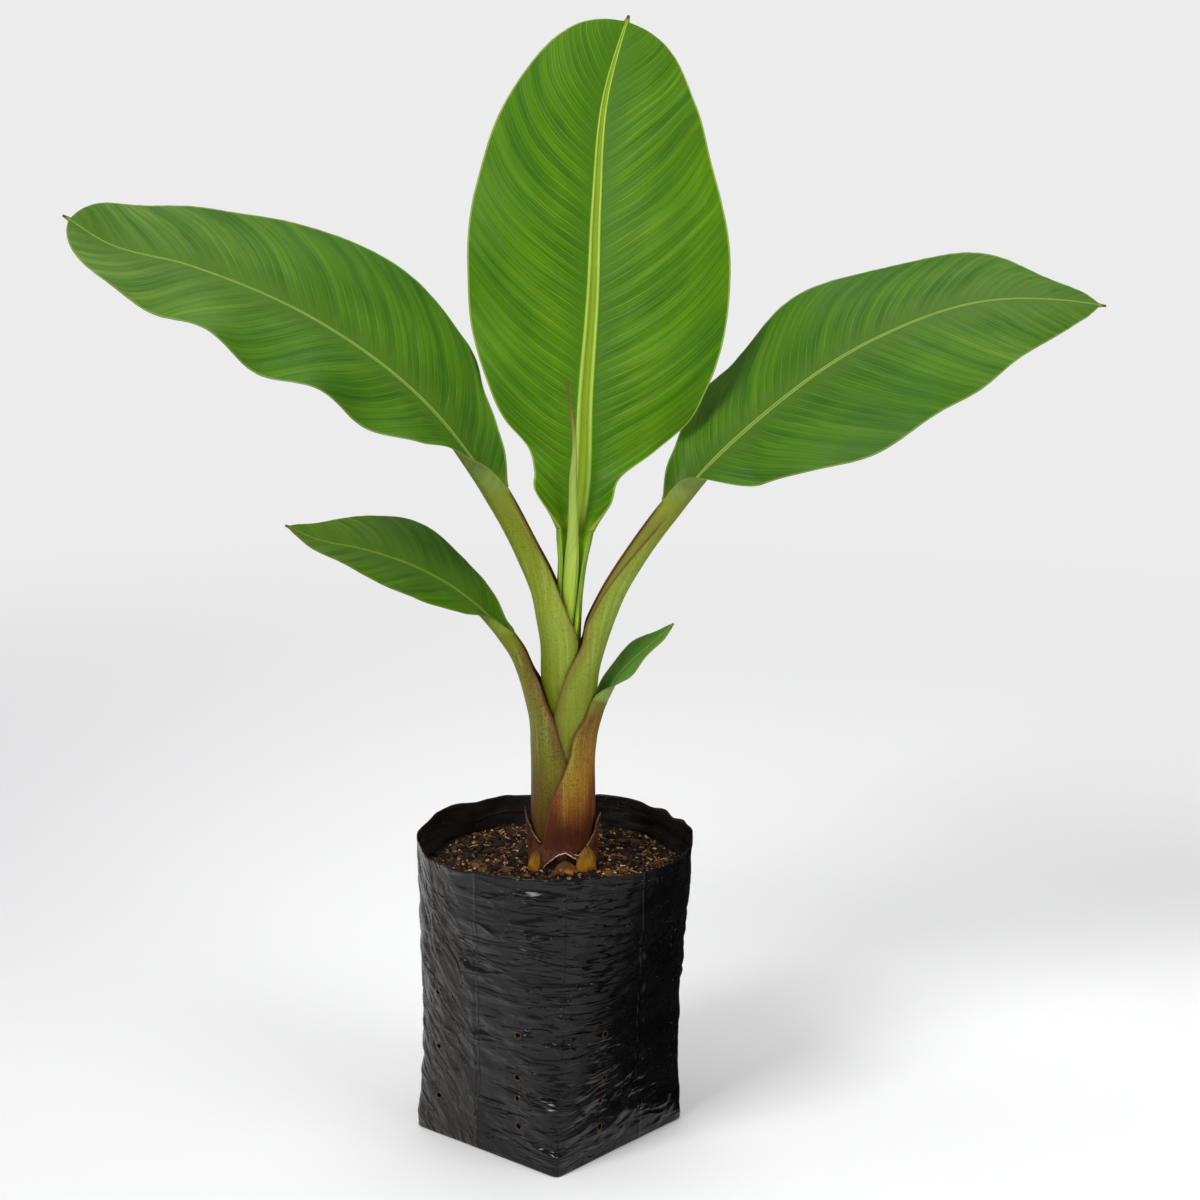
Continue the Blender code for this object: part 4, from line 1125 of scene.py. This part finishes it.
def film_cells():
    """Directions and heights of the film's points, its closed cells and its holes' edges."""
    columns = BAG_COLUMNS
    low = len(FOOT_LEVELS) - 1
    even = np.linspace(FOOT_LEVELS[low], BAG_HEIGHT, BAG_ROWS - low)
    height = np.concatenate((FOOT_LEVELS[:low], even))
    theta, level = np.meshgrid(circle(columns) - np.pi, height)
    closed = np.ones(theta.shape, bool)      # cells named by their lower left point
    edges = []
    for degrees, at, radius in HOLES:
        way = math.radians(degrees)
        i = int(round((way + np.pi) / TURN * columns)) % columns
        j = int(np.argmin(abs(height - at)))
        theta[j, i], level[j, i] = way, at
        ring = []
        for dj, di in HOLE_RING:
            spot = j + dj, (i + di) % columns
            out = math.atan2(dj, di)
            theta[spot] = way + radius / BAG_ARC * math.cos(out)
            level[spot] = at + radius * math.sin(out)
            ring.append(spot[0] * columns + spot[1])
        for dj, di in ((0, 0), (-1, 0), (-1, -1), (0, -1)):
            closed[j + dj, (i + di) % columns] = False
        edges += zip(ring, ring[1:] + ring[:1])
    return theta, level, closed[:-1], edges


def film_maps(points, quads, around, levels, ends):
    """The place on the flattened film, and a bake map that sets the parts side by side.

    ends holds where the quads end of the outer wall, the inner wall, the underside and the floor.
    """
    around, levels = around[quads], levels[quads]
    around = around + TURN * np.round((around[:, :1] - around) / TURN)
    share = (around + np.pi) / TURN
    share = share - np.floor(share.min(axis=1, keepdims=True) + 1e-6)
    bake = pack(0.004 + 0.98 * share / 1.01, 0.2 + 0.39 * levels / BAG_HEIGHT)
    bake[ends[0]:ends[1], :, 1] += 0.4
    for start, stop, middle in zip(ends[1:], ends[2:], (0.1, 0.3)):
        spots = points[quads[start:stop]][..., :2]
        bake[start:stop] = spots / BAG_BASE_SIDE * 0.11 + (middle, 0.1)
    bake[ends[3]:, 2:, 1] += 0.004
    return {"film": pack(around * BAG_ARC, levels) / 100, "OFBake": bake}


def build_bag():
    theta, level, closed, edges = film_cells()
    rows, columns = theta.shape
    count = theta.size
    outer, inner = film_point(theta, level, 0.0), film_point(theta, level, FILM)
    inner[:3, :, 2] = INNER_FLOOR + INNER_STEP * np.arange(3)[:, None]
    disc = (BAG_FLOOR_RINGS - 1) * columns
    base, under = bag_floor(outer[0], 0, 2 * count, 0.0)
    floor, inside = bag_floor(inner[0], count, 2 * count + disc, INNER_FLOOR)
    points = np.concatenate((outer.reshape(-1, 3), inner.reshape(-1, 3), base, floor))
    wall = grid_quads(rows, columns, closed=True).reshape(rows - 1, columns, 4)[closed]
    lip = np.arange(columns) + (rows - 1) * columns
    lip = np.stack((lip, np.roll(lip, -1), np.roll(lip, -1) + count, lip + count), axis=-1)
    sides = [(a, b, b + count, a + count) for a, b in edges]
    parts = wall, wall[:, ::-1] + count, under, inside[:, ::-1], lip, sides
    quads = np.concatenate(parts)
    ends = np.cumsum([len(part) for part in parts[:4]])
    around = np.concatenate((theta.ravel(), theta.ravel(), np.tile(theta[0], 2 * disc // columns)))
    levels = np.concatenate((level.ravel(), level.ravel(), np.zeros(2 * disc)))
    surfaces = np.zeros(len(quads), int)
    surfaces[ends[0]:ends[1]] = 1
    make_piece("grow_bag_film", "grow_bag", points, quads,
               film_maps(points, quads, around, levels, ends),
               (film_material("black_film", True), film_material("black_film_inside", False)),
               surfaces)


def film_material(name, outside):
    """Thin black film: glossy, creased level across and slanting at the left, a little dusty, with
    painted sheen on its left side.
    """
    g = Graph(name, Specular_IOR_Level=0.3 if outside else 0.16)
    round_, up = g.uv("film")

    def noise(around, along, seed, *settings):
        return g.noise(g.point(round_ * around, up * along, seed), *settings)

    def shifted(degrees, at):
        return round_ - math.radians(degrees) * BAG_ARC / 100, up - at / 100

    wide = noise(3.0, 5.0, 1.0, 3.0)
    level = noise(3.2, 12.0, 2.0, 2.0, 1.0, 0.45, 0.6)
    slant = g.noise(g.point(round_ * 4.0 + up * -2.7, round_ * 11.0 + up * 7.4, 4.0),
                    2.0, 1.0, 0.45, 0.6)
    calm = noise(2.2, 3.0, 8.0, 1.0)
    side = round_.spread(-1.42, -1.58)
    ridged = abs(level * (1.0 - side) + slant * side - 0.5) * (side * 0.8 + 1.0)
    ridged = ridged * round_.spread(-0.8, -0.5, 1.0, 0.5) * calm.spread(0.35, 0.62, 0.45, 1.0)
    fine = noise(22.0, 70.0, 3.0, 3.0)
    front = abs(round_ + 0.89).spread(0.3, 0.1)
    glint = noise(6.0, 36.0, 9.0, 1.0).spread(0.56, 0.64) * front
    dust = noise(60.0, 110.0, 5.0, 2.0).spread(0.62, 0.72)
    dust = dust * noise(7.0, 9.0, 6.0, 1.0).spread(0.5, 0.66, 0.0, 0.5)
    height = ridged * -2.6 + (fine * 0.06 + glint * 1.6)
    glazes = [((118, 100, 78), dust)]
    if outside:
        rings = None
        for degrees, at, radius in HOLES[:PALE_RIMMED]:
            far = g.far(*shifted(degrees, at))
            near = far.fade(radius / 100 + 0.001, radius / 100 + 0.008, 0.5)
            rings = near if rings is None else g.maths("MAXIMUM", rings, near)
        # a paler warm grey over the left side: painted sheen, for the light that the film mirrors
        # there
        glazes = ((37, 33, 30), side * 0.8), *glazes, ((96, 74, 50), rings)
        for degrees, at, run, tall, deep in DIMPLES:
            x, y = shifted(degrees, at)
            far = g.far(x * (100 / run), y * (100 / tall)) + level * 0.4
            height = height + far.spread(0.2, 1.2, -deep, 0.0)
    for at_foot, _, _, at_rim in FOLDS[:PALE_FOLDS]:
        ends = [math.radians(degrees) * BAG_ARC / 100 for degrees in (at_foot, at_rim)]
        off = abs(round_ - up.even(0.0, 1.65, *ends))
        height = height + off.fade(0.0, 0.012, 0.15)
    darkest, palest = ((4, 4, 5), (11, 11, 11)) if outside else ((20, 18, 18), (44, 39, 36))
    colour = g.mix(wide.spread(0.35, 0.7), darkest, palest).under(*glazes)
    return g.finish(colour, fine.even(0.25, 0.75, 0.14, 0.3), height, 2.2, 0.9)


# ---- potting mix ----

SOIL_MIDDLE = 3.6             # x of the middle of its surface
SOIL_CLEAR = 2.0              # between the mix and the outer face of the smooth film
SOIL_INSIDE = 4               # the same below its edge
SOIL_BELOW = (143, 120, 90, 60, 30, 6)       # levels of its sides
SOIL_SINKS = 0.6              # how far its top lies below the solid's
SOIL_FALLS = 0.55             # share of its radius where it starts to fall to its edge
SOIL_RINGS = 70
SOIL_COLUMNS = 300
HEAP, FOOT_HEAP, BACK_HEAP = 2.2, 1.8, 3.0   # the mix rises to its middle, the stem and the back
SOIL_TONES = ((0.0, (14, 8, 4)), (0.3, (30, 17, 9)), (0.52, (60, 36, 19)), (0.7, (100, 63, 35)),
              (0.84, (164, 110, 64)), (0.94, (222, 174, 116)), (1.0, (246, 218, 170)))
LEVEL_SPAN = 180              # of the square that its unevenness covers
CRUMB_REACH = 71              # how far out the crumbs lie
CRUMB_CLEAR = 2.6             # between a crumb and the edge
STEM_CLEAR = 20.6             # between its middle and the stem's
FIBRE_REACH = 68
FIBRE_EDGE = 62
FIBRE_CLEAR = 21
FIBRE_STEPS = 8


def soil_level(x, y):
    """Height of the mix at places on it."""
    radius, _ = bag_radius(np.arctan2(y, x - SOIL_MIDDLE), SOIL_EDGE)
    out = np.hypot(x - SOIL_MIDDLE, y) / radius
    fall = ease((out - SOIL_FALLS) / (1 - SOIL_FALLS))
    level = SOIL_TOP - SOIL_SINKS - (SOIL_TOP - SOIL_EDGE) * fall
    level = level + HEAP * (1 - ease(out)) + BACK_HEAP * ease((y + 10) / 70)
    level = level + FOOT_HEAP * np.exp(-((np.hypot(x - STEM_X, y) - 20) / 8) ** 2)
    return level + layers(x / LEVEL_SPAN + 0.5, y / LEVEL_SPAN + 0.5, (1.1, 51, 16, 16),
                          (0.8, 52, 40, 40), (0.5, 53, 90, 90), (0.3, 54, 170, 170))


def soil_material():
    g = Graph("potting_mix_crumbly", Specular_IOR_Level=0.25)
    place = g.place()
    lumps = g.noise(place, 3.0, 330.0, 0.6)
    grain = g.noise(place, 3.0, 1100.0, 0.6)
    value = lumps.spread(0.44, 0.74, 0.0, 0.6) + grain.spread(0.56, 0.7, 0.0, 0.4)
    return g.finish(g.ramp(value, SOIL_TONES), 0.9, lumps + grain * 0.6, 3.0)


def build_soil():
    angle = circle(SOIL_COLUMNS)
    out = np.linspace(0.02, 1, SOIL_RINGS)[:, None] * (bag_radius(angle, SOIL_EDGE)[0] - SOIL_CLEAR)
    rings = polar(out, angle, 0.0, SOIL_MIDDLE)
    rings[..., 2] = soil_level(rings[..., 0], rings[..., 1])
    rings = list(rings)
    for level in SOIL_BELOW:
        radius, shift = bag_radius(angle, level)
        rings.append(polar(radius - SOIL_INSIDE, angle, level, shift))
    rings += [rings[-1] * (s, s, 1) for s in (0.5, 0.02)]
    column_piece("potting_mix_surface", "potting_mix", np.array(rings), {},
                 soil_material())


def crumb_shape(level):
    """Points and triangles of a rough ball of unit radius."""
    t = (1 + 5 ** 0.5) / 2
    points = np.array([(-1, t, 0), (1, t, 0), (-1, -t, 0), (1, -t, 0), (0, -1, t), (0, 1, t),
                       (0, -1, -t), (0, 1, -t), (t, 0, -1), (t, 0, 1), (-t, 0, -1), (-t, 0, 1)])
    near = abs(np.linalg.norm(points[:, None] - points, axis=-1) - 2) < 0.01
    faces = [(a, b, c) for a, b, c in combinations(range(12), 3)
             if near[a, b] and near[b, c] and near[a, c]]
    points = list(unit(points))
    for _ in range(level):
        middle, finer = {}, []
        for a, b, c in faces:
            new = []
            for pair in ((a, b), (b, c), (c, a)):
                key = tuple(sorted(pair))
                if key not in middle:
                    middle[key] = len(points)
                    points.append(unit(points[key[0]] + points[key[1]]))
                new.append(middle[key])
            finer += [(a, new[0], new[2]), (b, new[1], new[0]), (c, new[2], new[1]), new]
        faces = finer
    points, faces = np.array(points), np.array(faces)
    inward = np.linalg.det(points[faces]) < 0
    faces[inward] = faces[inward][:, ::-1]
    return points, faces


def crumb_material(name, low, high):
    """Each crumb takes its tone by chance, between two places of the soil's tones."""
    g = Graph(name, Specular_IOR_Level=0.3)
    chance, _ = g.uv("chance")
    grain = g.noise(g.place(), 3.0, 1400.0, 0.6)
    value = chance.even(0.0, 1.0, low, high) + grain.even(0.3, 0.7, -0.1, 0.1)
    return g.finish(g.ramp(value, SOIL_TONES), 0.8, grain, 0.6)


def drop(rng, reach):
    """A place on the mix taken by chance, and how far it is from the middle."""
    radius = reach * math.sqrt(rng.uniform())
    way = rng.uniform(0, TURN)
    return SOIL_MIDDLE + radius * math.cos(way), radius * math.sin(way), radius


def loose_piece(name, bits, faces, spots, chances, material):
    """Bits of the same faces that lie on the mix, each with its own points and chance.

    spots holds the bake map of one bit, from 0 to 1.
    """
    numbers = np.arange(len(bits))[:, None, None]
    side = math.ceil(math.sqrt(len(bits)))
    chance = np.array(chances)[:, None, None] + np.zeros(faces.shape)
    maps = {"chance": pack(chance, chance),
            "OFBake": (spots + pack(numbers % side, numbers // side)) / side}
    faces = (faces + numbers * len(bits[0])).reshape(-1, faces.shape[1])
    maps = {key: pairs.reshape(*faces.shape, 2) for key, pairs in maps.items()}
    make_piece(name, "potting_mix", np.concatenate(bits), faces, maps, [material])


def build_crumbs(name, seed, count, level, sizes, squash, material):
    rng = np.random.default_rng(seed)
    shape, faces = crumb_shape(level)
    bits, chances = [], []
    while len(bits) < count:
        x, y, radius = drop(rng, CRUMB_REACH)
        size = rng.uniform() ** 2.2 * (sizes[1] - sizes[0]) + sizes[0]
        edge, _ = bag_radius(math.atan2(y, x - SOIL_MIDDLE), SOIL_EDGE)
        if radius > edge - CRUMB_CLEAR - size or math.hypot(x - STEM_X, y) < STEM_CLEAR + size:
            continue
        scale = size * np.array((rng.uniform(0.7, 1.3), rng.uniform(0.7, 1.3), squash))
        body = shape * (1 + rng.uniform(-0.35, 0.35, (len(shape), 1))) * scale
        turn, tilt = rng.uniform(0, TURN), rng.uniform(-0.5, 0.5)
        c, s = math.cos(turn), math.sin(turn)
        body = body @ np.array(((c, s, 0), (-s, c, 0), (0, 0, 1)))
        c, s = math.cos(tilt), math.sin(tilt)
        body = body @ np.array(((1, 0, 0), (0, c, s), (0, -s, c)))
        bits.append(body + (x, y, soil_level(x, y) + size * squash * rng.uniform(-0.1, 0.5)))
        chances.append(rng.uniform())
    loose_piece(name, bits, faces, 0.5 + 0.42 * shape[faces][..., :2], chances, material)


def build_fibres(name, seed, count, material):
    """Thin bent fibres and bark slivers lying on the mix."""
    rng = np.random.default_rng(seed)
    steps = FIBRE_STEPS
    bits, chances = [], []
    while len(bits) < count:
        x, y, radius = drop(rng, FIBRE_REACH)
        run = rng.uniform(4, 15)
        if math.hypot(x - STEM_X, y) < FIBRE_CLEAR + run / 2 or radius > FIBRE_EDGE - run / 2:
            continue
        heading, bend = rng.uniform(0, TURN), rng.normal(0, 0.9)
        thick = rng.uniform(0.12, 0.42)
        share = np.linspace(-0.5, 0.5, steps)
        ways = heading + bend * share
        x = x + np.cumsum(np.cos(ways)) * run / steps
        y = y + np.cumsum(np.sin(ways)) * run / steps
        z = soil_level(x, y)
        z = z.mean() * 0.6 + z * 0.4 + 0.5 + rng.uniform(0, 1.2) * (share + 0.5)
        width = thick * (1 - (2 * share) ** 4 * 0.7)
        side = pack(-np.sin(ways), np.cos(ways), 0) * width[:, None]
        lift = pack(0, 0, width)
        bits.append(np.concatenate([pack(x, y, z) + side * a + lift * b
                                    for a, b in ((1, 0), (0, 0.8), (-1, 0), (0, -0.8))]))
        chances.append(rng.uniform())
    ends = (3, 2, 1, 0), range(4 * steps - 4, 4 * steps)
    faces = np.concatenate((grid_quads(steps, 4, closed=True), ends))
    number = np.arange(4 * steps).reshape(4, steps).T.ravel()
    cells = grid_quads(steps, 5)
    spots = np.concatenate((pack(cells % 5 / 5, cells // 5 / steps) * 0.9, np.zeros((2, 4, 2))))
    loose_piece(name, bits, number[faces], spots, chances, material)


# ---- stage ----

CAMERA_PLACE = (0.0279, -1.532, 0.6906)
CAMERA_PITCH = 14.41
CAMERA_LENS = 90.0
CAMERA_SENSOR = 36.0
CAMERA_SEES = (0.05, 50.0)
STAGE_TONE = (236, 236, 237)
STAGE_BLEND = (0.45, 1.5)     # metres from the plant where the paper starts to glow, and glows whole
STAGE_FLOOR = 1.6
STAGE_FLAT = 2.8
STAGE_WALL = 4.4
STAGE_TOP = 6.0
STAGE_ROWS = (24, 8, 14)      # of the floor, the flat ground beyond it and the bend
STAGE_SIDES = 96
FLAG = ((0.2, -0.3), (0.13, 0.04), (0.1, 0.24))    # its foot, seen from above
FLAG_LAP = ((0.054, -0.063), (0.081, 0.0), (0.06, 0.16))   # and how far it lies on the floor
FLAG_FOOT = 0.001
FLAG_TOP = 0.3
FLAG_FADE = (-0.11, -0.03)    # y from where it goes dark, and where it is dark
FLAG_GLOW = (0.8, 0.02)       # how much it glows before and behind them
# the paper's grey on the left is painted shade
PAPER_SHADE = (-0.6, 0.0)     # x between which the paper goes from grey to white
LIT_PLACE = np.array((0, 0, 0.3))
AIR_LIGHT = 0.3
# square lights: name, place, side, power in watts, whether the film mirrors them
LIGHTS = (("key", (-1.3, -1.5, 2.1), 1.0, 47, True), ("fill", (1.7, -1.3, 1.3), 1.4, 20, False),
          ("top", (0.1, 0.5, 2.3), 1.6, 17, True))


def stage_piece(name, points, quads, material, *unseen_by):
    """A surface in metres that isn't part of the plant, and the rays that pass it by."""
    mesh = bpy.data.meshes.new(name)
    mesh.from_pydata(points, [], quads.tolist())
    mesh.materials.append(material)
    piece = link(name, mesh)
    for rays in unseen_by:
        setattr(piece, "visible_" + rays, False)
    return mesh


def shine(g, strength):
    g.put(g.shader.inputs["Emission Color"], STAGE_TONE)
    g.put(g.shader.inputs["Emission Strength"], strength)


def build_paper(name, material, rows, *unseen_by):
    """White paper turned about the vertical, through rows of (radius, height).

    It lights itself more and more with distance, so it looks even.
    """
    g = Graph(material, Specular_IOR_Level=0.0, Roughness=1.0)
    far = g.add("ShaderNodeVectorMath", {0: g.place()}, output=1, operation="LENGTH")
    glow = far.spread(*STAGE_BLEND)
    shine(g, glow)
    across, _ = g.split(g.place())
    # greyer towards the left: painted shade
    white = g.mix(across.spread(*PAPER_SHADE), (228, 228, 230), (250, 250, 251))
    angle = circle(STAGE_SIDES)
    points = np.concatenate([polar(radius, angle, height) for radius, height in rows])
    quads = grid_quads(len(rows), STAGE_SIDES, closed=True)
    mesh = stage_piece(name, points.tolist(), quads,
                       g.finish(g.mix(glow, white, (0, 0, 0))), *unseen_by)
    mesh.shade_smooth()


def build_stage():
    floor, flat, curve = STAGE_ROWS
    near = [(r, 0.0) for r in np.linspace(0.001, STAGE_FLOOR, floor)]
    build_paper("studio_floor", "studio_paper", near)
    bend = STAGE_WALL - STAGE_FLAT
    rows = [(r, 0.0) for r in np.linspace(STAGE_FLOOR, STAGE_FLAT, flat)]
    rows += [(STAGE_FLAT + bend * math.sin(a), bend - bend * math.cos(a))
             for a in np.linspace(0, math.pi / 2, curve)[1:]]
    rows += [(STAGE_WALL, 3.4), (STAGE_WALL, STAGE_TOP)]
    build_paper("studio_wall", "studio_wall_paper", rows, "diffuse", "glossy", "shadow")


def build_flag():
    """A dark card that the camera doesn't see, there to be mirrored in the film's right side."""
    rows = ((FLAG_LAP, FLAG_FOOT), (FLAG, FLAG_FOOT), (FLAG, FLAG_TOP))
    points = [(x, y, z) for row, z in rows for x, y in row]
    g = Graph("studio_flag_cloth", Roughness=1.0, Specular_IOR_Level=0.0)
    _, back = g.split(g.place())
    shine(g, back.spread(*FLAG_FADE, *FLAG_GLOW))
    stage_piece("studio_flag", points, grid_quads(3, 3), g.finish((20, 10, 8)),
                "camera", "diffuse", "shadow")


def build_lights():
    world = bpy.data.worlds.new("studio_air")
    world.use_nodes = True
    air = world.node_tree.nodes["Background"]
    air.inputs["Color"].default_value = (1.0, 1.0, 1.0, 1.0)
    air.inputs["Strength"].default_value = AIR_LIGHT
    bpy.context.scene.world = world
    for name, place, side, power, mirrored in LIGHTS:
        data = bpy.data.lights.new(name, "AREA")
        data.shape = "RECTANGLE"
        data.size = data.size_y = side
        data.energy = power
        light = link(name, data)
        light.location = place
        x, y, z = place - LIT_PLACE
        light.rotation_euler = math.atan2(math.hypot(x, y), z), 0, math.atan2(x, -y)
        light.visible_glossy = mirrored


def build_camera():
    data = bpy.data.cameras.new("camera")
    data.lens = CAMERA_LENS
    data.sensor_width = CAMERA_SENSOR
    data.clip_start, data.clip_end = CAMERA_SEES
    camera = link("camera", data)
    camera.location = CAMERA_PLACE
    camera.rotation_euler = math.radians(90 - CAMERA_PITCH), 0, 0
    bpy.context.scene.camera = camera


build_camera()
for leaf, stalk_shape, stalk_look, shape, look in PLANT:
    build_stalk(leaf, stalk_shape, stalk_look, look.stalk)
    build_blade(leaf, shape, look)
build_spear()
build_core()
build_collar()
for bud in BUDS:
    build_bud(bud)
build_bag()
build_soil()
build_crumbs("potting_mix_crumbs", 61, 850, 1, (0.7, 2.8), 0.6, crumb_material("crumbs", 0.0, 0.7))
build_crumbs("potting_mix_grains", 62, 2400, 0, (0.4, 1.4), 0.7, crumb_material("grains", 0.0, 0.92))
build_crumbs("potting_mix_flecks", 63, 850, 0, (0.3, 1.1), 0.6, crumb_material("chips", 0.78, 1.0))
build_fibres("potting_mix_fibres", 64, 260, crumb_material("fibres", 0.3, 0.95))
build_stage()
build_flag()
build_lights()
bpy.context.scene.view_settings.view_transform = "Standard"
